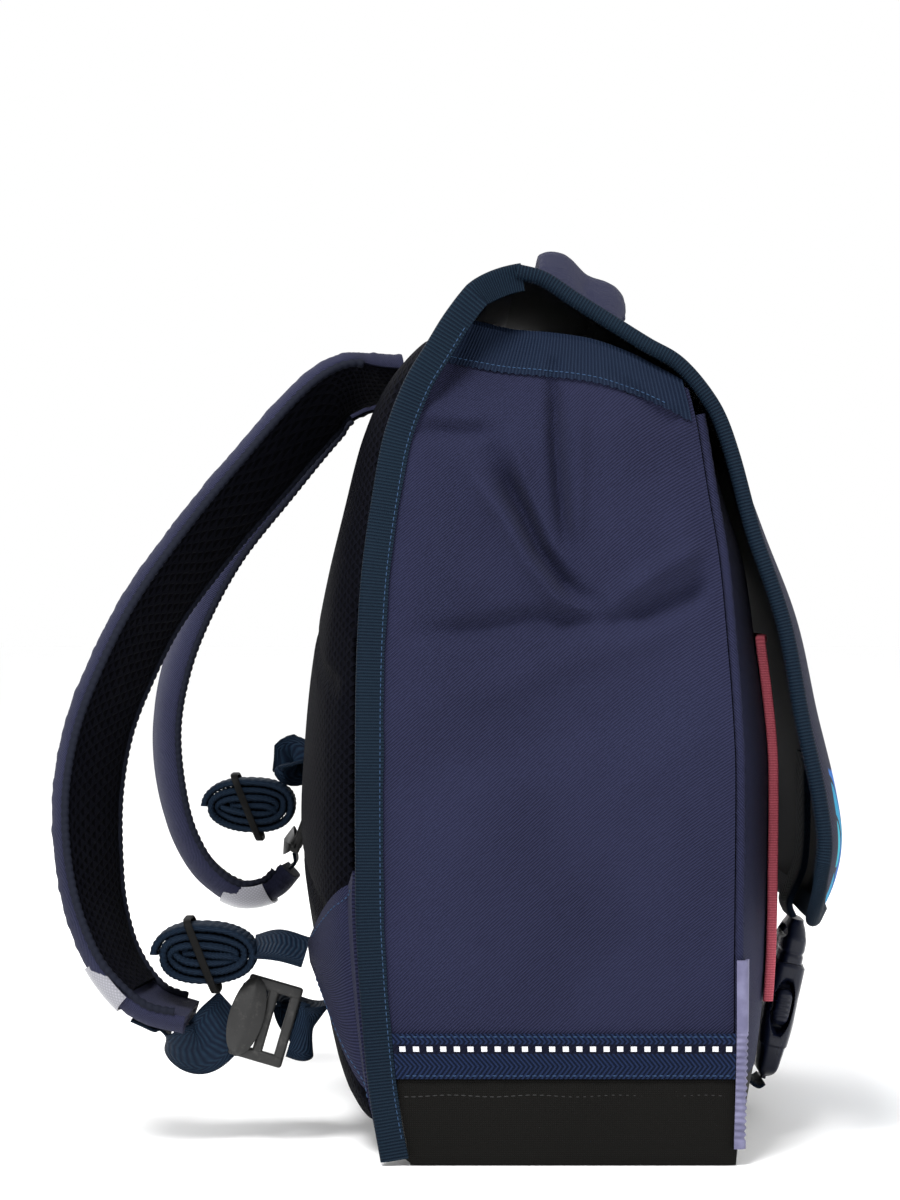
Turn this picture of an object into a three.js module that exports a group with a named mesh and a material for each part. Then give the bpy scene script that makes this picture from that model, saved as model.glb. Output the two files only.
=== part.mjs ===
// A child's school satchel worn as a backpack, standing on its base, in millimetres.
// +Z is up, the front faces -Y, the back with the shoulder straps faces +Y, the wearer's left is at -X.
// The origin is the middle of the base, on the floor.
import * as THREE from "three";

// Body
const bodyWidth = 300; // outside, from side panel to side panel
const bodyDepth = 145; // at the base, from the front piping to the back seam
const bodyHeight = 379; // from the floor to the ridge where the flap folds over
const clothWall = 2; // side panels, with their lining
const panelWall = 2.4; // stiffened front, back and flap
const seamGap = 0.3; // clearance between neighbours
const curveGap = 0.8; // and between curved layers, whose facets differ
const baseBandHeight = 36; // black base cloth up the walls
const backBelly = 19; // how far the back bulges at its middle
const frontBelly = 20.5; // how far the front bulges at its middle
const sideBelly = 3; // how far a side bulges
const foldDepth = 9; // depth of the deepest fold in a side panel
const gussetPinch = 16; // how far the top of a side panel is drawn in

// Trim
const bindingWidth = 12; // grosgrain tape, folded
const bindingWall = 1.3;
const pipingRadius = 2.1;
const tapeHeight = 19; // herringbone tape
const tapeThickness = 1.2;
const ribbonHeight = 16; // grosgrain on the gusset's top edge
const ribbonWall = 1;
const guardHeight = 86;
const guardLow = 7;
const guardWall = 1.6;
const guardCornerCut = 0.6; // of its wall at the outer corner, as a share
const guardSideReach = 4.4; // how far a corner guard reaches along the side
const guardFrontReach = 6; // and along the front

// Padding on the back
const padThickness = 13;
const padInset = 12; // from each side of the body
const padWidth = bodyWidth - 2 * padInset;

// Flap
const flapOverhang = 2; // how far it reaches out past each side of the body
const flapWidth = bodyWidth + 2 * flapOverhang;
const flapCrown = 12; // how far its middle stands out ahead of its edges
const flapBindingWidth = 10;
const flapTapeFoot = 8.4; // how far the tape reaches in over the cloth
const bightRoom = 1; // between the flap's slanted cloth edge and the fold of its tape
const hemCornerRadius = 26;
const flapEdgeCurl = 5; // how far its side edges turn back towards the body

// Handle
const handleLength = 128;
const handleWidth = 50;
const handleThickness = 12;
const fingerGap = 17;
const handleTabLength = 20;

// Front pocket
const pocketWidth = 224;
const pocketTop = 222;
const pocketBottom = 64;
const pocketThickness = 2.6;
const pocketTrimWidth = 4.2;

// Shoulder straps
const strapWidth = 60;
const strapThickness = 12;
const strapReach = 138; // how far they stand out behind the back seam
const strapSpread = 104; // from the middle to a strap's lower end
const bandLength = 22; // reflective band
const bandThickness = 0.9;
const bandPlace = 0.85; // share of the way down a strap
const strapSeam = 1.35; // the cloth and the mesh meet this far below the strap's middle

// Webbing and hardware
const webbingWidth = 25;
const webbingThickness = 1.8;
const bundleLength = 48; // rolled spare webbing, seen from the side
const bundleHeight = 27;
const rubberWidth = 7;
const rubberThickness = 1.2;
const lockWidth = 36;
const lockLength = 24;
const lockThickness = 4.4;
const lockSlotRoom = 1.5; // longer than the webbing is wide
const runOut = 1.5; // straight step of webbing at a seam, a lock or a roll
const bundleEndRise = 1.8; // where the webbing leaves the left roll, in thicknesses above its middle
const tabThickness = 2.4;
const closureWidth = 38; // webbing that holds the buckle
const buckleWidth = 50;
const buckleLength = 76;
const buckleThickness = 15; // the socket, with its edges bevelled
const socketBevel = 1.6;
const plugThickness = 12;

const halfWidth = bodyWidth / 2;

// Profiles. "at" is a height as a share of the body's height, and the other columns are shares of the
// size that each one names.
const backProfile = [ // back: share of bodyDepth; belly: share of backBelly
  { at: 0.0, back: 0.497, belly: 0.0 },
  { at: 0.09, back: 0.536, belly: 0.37 },
  { at: 0.25, back: 0.569, belly: 0.79 },
  { at: 0.35, back: 0.573, belly: 1.0 },
  { at: 0.45, back: 0.573, belly: 0.92 },
  { at: 0.55, back: 0.57, belly: 0.74 },
  { at: 0.65, back: 0.556, belly: 0.47 },
  { at: 0.74, back: 0.524, belly: 0.24 },
  { at: 0.807, back: 0.49, belly: 0.12 },
  { at: 0.864, back: 0.433, belly: 0.1 },
  { at: 0.905, back: 0.369, belly: 0.1 },
  { at: 0.937, back: 0.317, belly: 0.08 },
  { at: 0.97, back: 0.248, belly: 0.04 },
  { at: 1.0, back: 0.16, belly: 0.0 },
];
const frontProfile = [ // front: share of bodyDepth; belly: share of frontBelly
  { at: 0.0, front: -0.49, belly: 0.25 },
  { at: 0.04, front: -0.493, belly: 0.43 },
  { at: 0.095, front: -0.497, belly: 0.7 },
  { at: 0.16, front: -0.5, belly: 0.86 },
  { at: 0.22, front: -0.5, belly: 0.97 },
  { at: 0.3, front: -0.502, belly: 1.0 },
  { at: 0.44, front: -0.504, belly: 1.0 },
  { at: 0.5, front: -0.497, belly: 0.95 },
  { at: 0.57, front: -0.483, belly: 0.86 },
  { at: 0.67, front: -0.458, belly: 0.74 },
  { at: 0.75, front: -0.423, belly: 0.48 },
  { at: 0.83, front: -0.388, belly: 0.25 },
  { at: 0.87, front: -0.36, belly: 0.1 },
  { at: 0.96, front: -0.28, belly: 0.0 },
];
const gussetTopLine = [ // at: share of the way from front to back; rise: share of bodyHeight
  { at: 0.0, rise: 0.86 },
  { at: 0.1, rise: 0.88 },
  { at: 0.2, rise: 0.896 },
  { at: 0.35, rise: 0.91 },
  { at: 0.65, rise: 0.921 },
  { at: 0.8, rise: 0.929 },
  { at: 1.0, rise: 0.94 },
];
// The flap's side edge, from the ridge to the hem, with the crown that its middle has there.
const flapLine = [ // back: share of bodyDepth; rise: share of bodyHeight; crown: share of flapCrown
  { back: 0.145, rise: 0.9905, crown: 0.0 },
  { back: 0.072, rise: 0.983, crown: 0.05 },
  { back: -0.019, rise: 0.9605, crown: 0.1 },
  { back: -0.106, rise: 0.9395, crown: 0.14 },
  { back: -0.231, rise: 0.9095, crown: 0.18 },
  { back: -0.322, rise: 0.889, crown: 0.2 },
  { back: -0.418, rise: 0.845, crown: 0.24 },
  { back: -0.49, rise: 0.789, crown: 0.32 },
  { back: -0.586, rise: 0.691, crown: 0.5 },
  { back: -0.664, rise: 0.602, crown: 0.66 },
  { back: -0.717, rise: 0.496, crown: 0.8 },
  { back: -0.768, rise: 0.404, crown: 0.94 },
  { back: -0.782, rise: 0.349, crown: 1.0 },
  { back: -0.76, rise: 0.307, crown: 1.0 },
  { back: -0.712, rise: 0.268, crown: 0.96 },
];
// Folds of a side panel: each runs from one place to another, given as shares of bodyDepth and
// bodyHeight, with its half width as a share of bodyDepth and its depth as a share of foldDepth.
const sideFolds = [
  { fold: "diagonal valley", y0: 0.21, z0: 0.785, y1: 0.04, z1: 0.66, wide: 0.06, deep: -0.9 },
  { fold: "diagonal valley foot", y0: 0.04, z0: 0.66, y1: -0.1, z1: 0.615, wide: 0.05, deep: -0.7 },
  { fold: "diagonal ridge", y0: 0.28, z0: 0.76, y1: 0.06, z1: 0.615, wide: 0.06, deep: 0.6 },
  { fold: "rising ridge", y0: -0.06, z0: 0.635, y1: -0.4, z1: 0.685, wide: 0.07, deep: 0.6 },
  { fold: "deep cross valley", y0: 0.4, z0: 0.59, y1: -0.06, z1: 0.6, wide: 0.06, deep: -0.6 },
  { fold: "cross valley front", y0: -0.06, z0: 0.59, y1: -0.42, z1: 0.65, wide: 0.06, deep: -0.8 },
  { fold: "soft ridge", y0: 0.38, z0: 0.52, y1: -0.38, z1: 0.6, wide: 0.1, deep: 0.4 },
  { fold: "upright crease", y0: 0.04, z0: 0.875, y1: -0.01, z1: 0.67, wide: 0.045, deep: -0.8 },
  { fold: "upright ridge front", y0: -0.06, z0: 0.84, y1: -0.05, z1: 0.66, wide: 0.05, deep: 0.5 },
  { fold: "top front crease", y0: -0.13, z0: 0.86, y1: -0.34, z1: 0.82, wide: 0.05, deep: -0.4 },
  { fold: "back dent", y0: 0.43, z0: 0.812, y1: 0.2, z1: 0.806, wide: 0.06, deep: -0.45 },
];
// Middle line of each shoulder strap: out is a share of strapSpread, back a share of strapReach behind
// the bottom of the back seam, rise a share of bodyHeight, roll in degrees about the strap's own run.
const strapLineLeft = [
  { out: 0.56, back: 0.13, rise: 0.886, roll: 16 },
  { out: 0.6, back: 0.23, rise: 0.868, roll: 20 },
  { out: 0.68, back: 0.48, rise: 0.768, roll: 20 },
  { out: 0.76, back: 0.66, rise: 0.686, roll: 19 },
  { out: 0.84, back: 0.79, rise: 0.617, roll: 18 },
  { out: 0.89, back: 0.88, rise: 0.552, roll: 18 },
  { out: 0.92, back: 0.955, rise: 0.48, roll: 18 },
  { out: 0.94, back: 0.99, rise: 0.405, roll: 18 },
  { out: 0.95, back: 0.985, rise: 0.325, roll: 16 },
  { out: 0.96, back: 0.955, rise: 0.262, roll: 12 },
  { out: 0.97, back: 0.89, rise: 0.205, roll: 8 },
  { out: 0.99, back: 0.78, rise: 0.163, roll: 5 },
  { out: 1.0, back: 0.65, rise: 0.149, roll: 3 },
];
const strapLineRight = [
  { out: 0.56, back: 0.13, rise: 0.886, roll: 12 },
  { out: 0.6, back: 0.22, rise: 0.868, roll: 12 },
  { out: 0.68, back: 0.46, rise: 0.765, roll: 10 },
  { out: 0.76, back: 0.62, rise: 0.69, roll: 9 },
  { out: 0.82, back: 0.73, rise: 0.618, roll: 8 },
  { out: 0.86, back: 0.81, rise: 0.545, roll: 8 },
  { out: 0.89, back: 0.852, rise: 0.465, roll: 8 },
  { out: 0.9, back: 0.838, rise: 0.385, roll: 8 },
  { out: 0.91, back: 0.79, rise: 0.32, roll: 7 },
  { out: 0.92, back: 0.7, rise: 0.268, roll: 6 },
  { out: 0.92, back: 0.585, rise: 0.243, roll: 5 },
  { out: 0.92, back: 0.475, rise: 0.25, roll: 4 },
  { out: 0.92, back: 0.41, rise: 0.275, roll: 3 },
];

// Finishes
const finishes = {
  navyTwill: { color: 0x2e3152, roughness: 0.85, metalness: 0 },
  grosgrain: { color: 0x16324a, roughness: 0.8, metalness: 0 },
  airMesh: { color: 0x17181b, roughness: 0.95, metalness: 0 },
  baseCloth: { color: 0x1b1a18, roughness: 0.9, metalness: 0 },
  guardPlastic: { color: 0x7b7a96, roughness: 0.5, metalness: 0 },
  redTrim: { color: 0x9b3a4a, roughness: 0.6, metalness: 0 },
  bucklePlastic: { color: 0x1c2236, roughness: 0.45, metalness: 0 },
  lockPlastic: { color: 0x3a3a3a, roughness: 0.6, metalness: 0 },
  reflective: { color: 0xa9a9b2, roughness: 0.35, metalness: 0.2 },
  rubber: { color: 0x101012, roughness: 0.7, metalness: 0 },
};

const satchel = new THREE.Group();

function addPiece(name, geometry, finish, parent = satchel) {
  const mesh = new THREE.Mesh(geometry, new THREE.MeshStandardMaterial(finish));
  mesh.name = name;
  parent.add(mesh);
  return mesh;
}

function vec(x, y, z) {
  return new THREE.Vector3(x, y, z);
}

// One column of a table between its rows, on a smooth curve through them.
function readTable(rows, column, at) {
  let i = 0;
  while (i < rows.length - 2 && at > rows[i + 1].at) {
    i += 1;
  }
  const a = rows[i];
  const b = rows[i + 1];
  const before = rows[Math.max(i - 1, 0)];
  const after = rows[Math.min(i + 2, rows.length - 1)];
  const span = b.at - a.at;
  const t = THREE.MathUtils.clamp((at - a.at) / span, 0, 1);
  const slopeA = ((b[column] - before[column]) / (b.at - before.at)) * span;
  const slopeB = ((after[column] - a[column]) / (after.at - a.at)) * span;
  const t2 = t * t;
  const t3 = t2 * t;
  const pull = (t3 - 2 * t2 + t) * slopeA + (t3 - t2) * slopeB;
  return (2 * t3 - 3 * t2 + 1) * a[column] + (3 * t2 - 2 * t3) * b[column] + pull;
}

// A closed body from rings of points. Each ring is joined to the next, with each four-sided facet split
// along its shorter diagonal, the two ends are capped, and the faces are turned outwards.
function bodyFromRings(rings, caps, endCaps = caps) {
  const count = rings[0].length;
  const positions = rings.flat().flatMap((p) => [p.x, p.y, p.z]);
  const index = [];
  for (let r = 0; r < rings.length - 1; r += 1) {
    for (let i = 0; i < count; i += 1) {
      const k = (i + 1) % count;
      const a = r * count + i;
      const b = r * count + k;
      if (rings[r][i].distanceTo(rings[r + 1][k]) < rings[r][k].distanceTo(rings[r + 1][i])) {
        index.push(a, b, b + count, a, b + count, a + count);
      } else {
        index.push(a, b, a + count, b, b + count, a + count);
      }
    }
  }
  const last = (rings.length - 1) * count;
  caps.forEach(([a, b, c]) => index.push(a, c, b));
  endCaps.forEach(([a, b, c]) => index.push(last + a, last + b, last + c));
  const at = (i) => vec(positions[3 * i], positions[3 * i + 1], positions[3 * i + 2]);
  let volume = 0;
  for (let i = 0; i < index.length; i += 3) {
    volume += at(index[i]).dot(at(index[i + 1]).cross(at(index[i + 2])));
  }
  if (volume < 0) {
    index.reverse();
  }
  const geometry = new THREE.BufferGeometry();
  geometry.setAttribute("position", new THREE.Float32BufferAttribute(positions, 3));
  geometry.setIndex(index);
  geometry.computeVertexNormals();
  return geometry;
}

// End caps of a ring that runs along one line and back along another with as many points.
function stripCaps(steps) {
  const caps = [];
  const last = 2 * steps + 1;
  for (let i = 0; i < steps; i += 1) {
    caps.push([i, i + 1, last - i - 1], [i, last - i - 1, last - i]);
  }
  return caps;
}

// End caps of a ring given by its section in the plane.
function sectionCaps(section) {
  return THREE.ShapeUtils.triangulateShape(section, []);
}

// A sheet with two faces: outer and inner give the point of each face at a share across and along.
function sheetBody(across, along, outer, inner) {
  const rings = [];
  for (let j = 0; j <= along; j += 1) {
    const ring = [];
    for (let i = 0; i <= across; i += 1) {
      ring.push(outer(i / across, j / along));
    }
    for (let i = across; i >= 0; i -= 1) {
      ring.push(inner(i / across, j / along));
    }
    rings.push(ring);
  }
  return bodyFromRings(rings, stripCaps(across));
}

// A point of a section at a frame, which has a place and two directions.
function inFrame({ place, side, up }, p) {
  return place.clone().addScaledVector(side, p.x).addScaledVector(up, p.y);
}

// A section, drawn in the plane, carried along frames. The first ring may be fitted to a neighbour.
function sweptBody(sectionAt, frames, fitFirst = (ring) => ring) {
  const sections = frames.map((frame, i) => sectionAt(i / (frames.length - 1)));
  const rings = frames.map((frame, i) => sections[i].map((p) => inFrame(frame, p)));
  fitFirst(rings[0]);
  return bodyFromRings(rings, sectionCaps(sections[0]), sectionCaps(sections.at(-1)));
}

function mix(a, b, t) {
  return a + (b - a) * t;
}

function smoothStep(from, to, x) {
  return THREE.MathUtils.smoothstep(x, from, to);
}

function roundedBox2(width, height, radius, cornerSteps = 2) {
  const points = [];
  const corners = [
    [1, 1, 0],
    [-1, 1, 1],
    [-1, -1, 2],
    [1, -1, 3],
  ];
  corners.forEach(([sx, sy, quarter]) => {
    for (let k = 0; k <= cornerSteps; k += 1) {
      const angle = (Math.PI / 2) * (quarter + k / cornerSteps);
      const cx = sx * (width / 2 - radius);
      const cy = sy * (height / 2 - radius);
      points.push(new THREE.Vector2(cx + radius * Math.cos(angle), cy + radius * Math.sin(angle)));
    }
  });
  return points;
}

// A U of tape, open downwards, with its bight at the top.
function tapeFold(width, slot, wall) {
  const outerHalf = slot / 2 + wall;
  const innerHalf = slot / 2;
  const top = width / 2;
  const foot = -width / 2;
  return [
    new THREE.Vector2(-outerHalf, foot),
    new THREE.Vector2(-innerHalf, foot),
    new THREE.Vector2(-innerHalf, top - wall),
    new THREE.Vector2(innerHalf, top - wall),
    new THREE.Vector2(innerHalf, foot),
    new THREE.Vector2(outerHalf, foot),
    new THREE.Vector2(outerHalf, top - wall),
    new THREE.Vector2(0, top),
    new THREE.Vector2(-outerHalf, top - wall),
  ];
}

// Lines of the body
function backSeam(z) {
  return bodyDepth * readTable(backProfile, "back", z / bodyHeight);
}

function frontSeam(z) {
  return bodyDepth * readTable(frontProfile, "front", z / bodyHeight);
}

function backFace(x, z) {
  const belly = backBelly * readTable(backProfile, "belly", z / bodyHeight);
  return backSeam(z) + belly * (1 - (x / halfWidth) ** 2);
}

function frontFace(x, z) {
  const belly = frontBelly * readTable(frontProfile, "belly", z / bodyHeight);
  return frontSeam(z) - belly * (1 - (x / halfWidth) ** 4);
}

function gussetTop(share) {
  return bodyHeight * readTable(gussetTopLine, "rise", share);
}

// Distance from a place on the side to a fold's line, as a share of bodyDepth.
function foldDistance(fold, y, z) {
  const from = new THREE.Vector2(fold.y0 * bodyDepth, fold.z0 * bodyHeight);
  const to = new THREE.Vector2(fold.y1 * bodyDepth, fold.z1 * bodyHeight);
  const run = to.clone().sub(from);
  const here = new THREE.Vector2(y, z).sub(from);
  const t = THREE.MathUtils.clamp(here.dot(run) / run.lengthSq(), 0, 1);
  return here.sub(run.multiplyScalar(t)).length() / bodyDepth;
}

// How far a side panel stands out from its flat place: belly, folds and the drawn-in top.
function sideRelief(y, z, share) {
  const rise = z / bodyHeight;
  const held = smoothStep(0.0, 0.1, share) * (1 - smoothStep(0.74, 0.86, share));
  const standing = smoothStep(0.15, 0.3, rise);
  const belly = sideBelly * Math.sin(Math.PI * share) * standing;
  let folds = 0;
  sideFolds.forEach((fold) => {
    const off = foldDistance(fold, y, z) / fold.wide;
    folds += fold.deep * foldDepth * Math.exp(-off * off);
  });
  const backThird = smoothStep(0.5, 0.72, share);
  const pinch = gussetPinch * mix(0.3, 1, backThird) * smoothStep(0.8, 0.93, rise);
  return (belly + folds - pinch) * held;
}

// Body walls
function sidePanelPoint(side, share, lift, inset) {
  const low = baseBandHeight + seamGap;
  const z = mix(low, gussetTop(share), lift);
  const front = frontSeam(z) + pipingRadius + seamGap;
  const back = backSeam(z) + bindingWidth / 2 - bindingWall - seamGap;
  const y = mix(front, back, share);
  return vec(side * (halfWidth + sideRelief(y, z, share) - inset), y, z);
}

// Rows are close together where the folds are, and the last one is the ribbon's height.
const sideAcross = 14;
const sideRows = 17;

function foldedLift(share, row) {
  const foot = 1 - ribbonHeight / (gussetTop(share) - baseBandHeight - seamGap);
  if (row === sideRows) {
    return 1;
  }
  const v = row / (sideRows - 1);
  const plainRows = 0.22;
  const plainLift = 0.42;
  const folded = mix(plainLift, 1, (v - plainRows) / (1 - plainRows));
  return foot * (v < plainRows ? (v * plainLift) / plainRows : folded);
}

function makeSidePanel(side, word) {
  const point = (u, v, inset) => sidePanelPoint(side, u, foldedLift(u, Math.round(v * sideRows)), inset);
  const geometry = sheetBody(
    sideAcross,
    sideRows,
    (u, v) => point(u, v, 0),
    (u, v) => point(u, v, clothWall),
  );
  addPiece("side_panel_" + word, geometry, finishes.navyTwill);
}

const backPanelHalf = halfWidth - clothWall - 2 * seamGap - bindingWall;

const ridgeBack = flapLine[0].back * bodyDepth;
const ridgeRise = flapLine[0].rise * bodyHeight;

const backPanelTurn = bodyHeight * 0.972;

// The back panel's last row turns level at the ridge, where the flap goes on from it.
function backPanelPoint(u, row, rows, wall) {
  const x = mix(-backPanelHalf, backPanelHalf, u);
  if (row === rows) {
    return vec(x, ridgeBack + seamGap, ridgeRise + panelWall / 2 - wall);
  }
  const z = mix(baseBandHeight + seamGap, backPanelTurn, row / (rows - 1));
  const lean = (backSeam(z + 1) - backSeam(z - 1)) / 2;
  return vec(x, backFace(x, z) - wall * Math.hypot(1, lean), z);
}

function makeBackPanel() {
  const rows = 16;
  const geometry = sheetBody(
    8,
    rows,
    (u, v) => backPanelPoint(u, Math.round(v * rows), rows, 0),
    (u, v) => backPanelPoint(u, Math.round(v * rows), rows, panelWall),
  );
  addPiece("back_panel", geometry, finishes.navyTwill);
}

const frontPanelHalf = halfWidth - 2 * pipingRadius - seamGap;
const frontPanelTop = bodyHeight * 0.832;

function makeFrontPanel() {
  const point = (u, v, inset) => {
    const x = mix(-frontPanelHalf, frontPanelHalf, u);
    const z = mix(baseBandHeight + seamGap, frontPanelTop, v);
    return vec(x, frontFace(x, z) + inset, z);
  };
  const geometry = sheetBody(
    12,
    12,
    (u, v) => point(u, v, 0),
    (u, v) => point(u, v, panelWall),
  );
  addPiece("front_panel", geometry, finishes.navyTwill);
}

// The base's outline at a height, drawn in by an inset, with a notch at each back corner for the tape.
function baseRing(z, inset) {
  const points = [];
  const steps = 10;
  const backHalf = backPanelHalf - inset;
  const sideX = halfWidth - inset;
  const notch = backSeam(z) - bindingWidth / 2 - seamGap - inset;
  for (let i = 0; i <= steps; i += 1) {
    const x = mix(-sideX, sideX, i / steps);
    points.push(vec(x, frontFace(x, z) + inset, z));
  }
  points.push(vec(sideX, notch, z));
  for (let i = 0; i <= steps; i += 1) {
    const x = mix(backHalf, -backHalf, i / steps);
    const edge = i === 0 || i === steps;
    points.push(vec(x, edge ? notch : backFace(x, z) - inset, z));
  }
  points.push(vec(-sideX, notch, z));
  return points;
}

function makeBasePanel() {
  const outerLevels = [0, baseBandHeight / 2, baseBandHeight];
  const innerLevels = [baseBandHeight, baseBandHeight / 2, clothWall];
  const rings = [
    ...outerLevels.map((z) => baseRing(z, 0)),
    ...innerLevels.map((z) => baseRing(z, clothWall)),
  ];
  const flat = (ring) => ring.map((p) => new THREE.Vector2(p.x, p.y));
  const geometry = bodyFromRings(rings, sectionCaps(flat(rings[0])), sectionCaps(flat(rings.at(-1))));
  addPiece("base_panel", geometry, finishes.baseCloth);
}

// Tape, piping and guards
function upFrames(low, high, steps, x, lineAt) {
  const frames = [];
  for (let i = 0; i <= steps; i += 1) {
    const z = mix(low, high, i / steps);
    const before = lineAt(z - 1);
    const after = lineAt(z + 1);
    const run = vec(0, after - before, 2).normalize();
    frames.push({ place: vec(x, lineAt(z), z), side: vec(1, 0, 0), up: vec(0, run.z, -run.y) });
  }
  return frames;
}

const bindingLow = 2; // clear of the floor
const bindingTurn = bodyHeight * 0.965; // the tape's last fold, up to the ridge, starts here

function makeEdgeBinding(side, word) {
  const x = side * (halfWidth - clothWall / 2);
  const frames = upFrames(bindingLow, bindingTurn, 22, x, backSeam);
  const ridge = vec(x, ridgeBack + seamGap, bodyHeight - bindingWidth / 2);
  frames.push({ place: ridge, side: vec(1, 0, 0), up: vec(0, 0, 1) });
  const section = tapeFold(bindingWidth, clothWall + 2 * seamGap, bindingWall);
  addPiece("edge_binding_" + word, sweptBody(() => section, frames), finishes.grosgrain);
}

function makePiping(side, word) {
  const section = [];
  const sides = 6;
  for (let k = 0; k < sides; k += 1) {
    const angle = (2 * Math.PI * k) / sides;
    section.push(new THREE.Vector2(pipingRadius * Math.cos(angle), pipingRadius * Math.sin(angle)));
  }
  const x = side * (halfWidth - pipingRadius);
  const frames = upFrames(baseBandHeight + seamGap, frontPanelTop, 14, x, frontSeam);
  addPiece("piping_" + word, sweptBody(() => section, frames), finishes.navyTwill);
}

function makeSideTape(side, word) {
  const low = baseBandHeight + seamGap;
  const point = (u, v, out) => {
    const z = low + v * tapeHeight;
    const front = frontSeam(z) + guardSideReach + seamGap;
    const back = backSeam(z) - bindingWidth / 2 - seamGap;
    return vec(side * (halfWidth + seamGap + out), mix(front, back, u), z);
  };
  const geometry = sheetBody(
    6,
    2,
    (u, v) => point(u, v, tapeThickness),
    (u, v) => point(u, v, 0),
  );
  addPiece("side_tape_" + word, geometry, finishes.grosgrain);
}

// The ribbon folds over the gusset's top edge and is drawn in with it.
function makeGussetRibbon(side, word) {
  const rings = [];
  const inFace = -clothWall - seamGap;
  const wall = seamGap + ribbonWall;
  for (let i = 1; i < sideAcross - 1; i += 1) {
    const share = i / sideAcross;
    const edge = sidePanelPoint(side, share, 1, 0);
    const foot = sidePanelPoint(side, share, foldedLift(share, sideRows - 1), 0);
    const place = (p, out, rise) => vec(p.x + side * out, p.y, p.z + rise);
    const outer = [
      place(foot, wall, 0),
      place(edge, wall, wall),
      place(edge, inFace - ribbonWall, wall),
      place(foot, inFace - ribbonWall, 0),
    ];
    const inner = [
      place(foot, seamGap, 0),
      place(edge, seamGap, seamGap),
      place(edge, inFace, seamGap),
      place(foot, inFace, 0),
    ];
    rings.push([...outer, ...inner.reverse()]);
  }
  addPiece("gusset_ribbon_" + word, bodyFromRings(rings, stripCaps(3)), finishes.grosgrain);
}

function makeCornerGuard(side, word) {
  const rings = [];
  const levels = 7;
  const frontSteps = 2;
  for (let j = 0; j <= levels; j += 1) {
    const z = mix(guardLow, guardHeight, j / levels);
    const corner = frontSeam(z) - pipingRadius - seamGap;
    const innerX = halfWidth + seamGap;
    const inner = [vec(side * innerX, frontSeam(z) + guardSideReach, z), vec(side * innerX, corner, z)];
    const outer = [
      vec(side * (innerX + guardWall), frontSeam(z) + guardSideReach, z),
      vec(side * (innerX + guardWall), corner - guardWall * guardCornerCut, z),
    ];
    for (let i = 1; i <= frontSteps; i += 1) {
      const x = innerX - (guardFrontReach * i) / frontSteps;
      const y = Math.min(frontFace(x, z) - curveGap, corner);
      inner.push(vec(side * x, y, z));
      outer.push(vec(side * (x + seamGap), y - guardWall, z));
    }
    rings.push([...outer, ...inner.reverse()]);
  }
  const geometry = bodyFromRings(rings, stripCaps(frontSteps + 1));
  addPiece("corner_guard_" + word, geometry, finishes.guardPlastic);
}

// Padding on the back
const padLow = bodyHeight * 0.022;
const padHigh = bodyHeight * 0.93;
const padRim = 0.14; // thickness at the sewn rim, as a share of padThickness

function padFace(x, z) {
  const u = Math.min(Math.abs(x) / (padWidth / 2), 1);
  const v = THREE.MathUtils.clamp((z - padLow) / (padHigh - padLow), 0, 1);
  const across = Math.sqrt(Math.max(1 - u ** 8, 0));
  const up = Math.sqrt(Math.max(1 - Math.abs(2 * v - 1) ** 16, 0));
  return backFace(x, z) + curveGap + padThickness * Math.max(across * up, padRim);
}

function makeBackPadding() {
  // Columns and rows are closer together towards the rim, where the padding curves down.
  const acrossAt = (u) => (padWidth / 2) * Math.sin((Math.PI / 2) * (2 * u - 1));
  const closeness = 0.04;
  const turnAt = (v) => Math.cos(Math.PI * mix(closeness, 1 - closeness, v)) / Math.cos(Math.PI * closeness);
  const levelAt = (v) => mix(padLow, padHigh, (1 - turnAt(v)) / 2);
  const geometry = sheetBody(
    12,
    14,
    (u, v) => vec(acrossAt(u), padFace(acrossAt(u), levelAt(v)), levelAt(v)),
    (u, v) => vec(acrossAt(u), backFace(acrossAt(u), levelAt(v)) + curveGap, levelAt(v)),
  );
  addPiece("back_padding", geometry, finishes.airMesh);
}

// Flap
const flapCurve = new THREE.CatmullRomCurve3(
  flapLine.map((row) => vec(0, row.back * bodyDepth, row.rise * bodyHeight)),
  false,
  "centripetal",
);
const flapCrownRows = flapLine.map((row, i) => ({ at: i / (flapLine.length - 1), crown: row.crown }));
const flapHalf = flapWidth / 2;

// A place on the flap's middle layer: u runs -1 to 1 across, v runs 0 at the ridge to 1 at the hem.
function flapPoint(u, v, out) {
  const at = v * flapRound(u);
  const run = at < 0.004 ? vec(0, -1, 0) : flapCurve.getTangentAt(at);
  const outward = vec(0, run.z, -run.y);
  const crown = flapCrown * readTable(flapCrownRows, "crown", at);
  const curl = flapEdgeCurl * Math.abs(u) ** 12 * smoothStep(0.3, 0.5, at);
  const place = flapCurve.getPointAt(at).setX(u * flapHalf);
  return place.addScaledVector(outward, crown * (1 - u ** 2) - curl + out);
}

// The lower corners are rounded: near a side edge the flap ends a little higher.
function flapRound(u) {
  const reach = Math.max(hemCornerRadius - (1 - Math.abs(u)) * flapHalf, 0);
  const rise = hemCornerRadius - Math.sqrt(Math.max(hemCornerRadius ** 2 - reach ** 2, 0));
  return 1 - rise / flapCurve.getLength();
}

// Shares across the flap: one facet holds the tape, the next one the rest of the rounded corner.
function flapStations() {
  const edge = [1, 1 - flapBindingWidth / flapHalf, 1 - hemCornerRadius / flapHalf];
  const right = [0, 0.3, 0.58, ...edge.reverse()];
  return [...right.slice(1).reverse().map((u) => -u), ...right];
}

const flapRows = 15;

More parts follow.
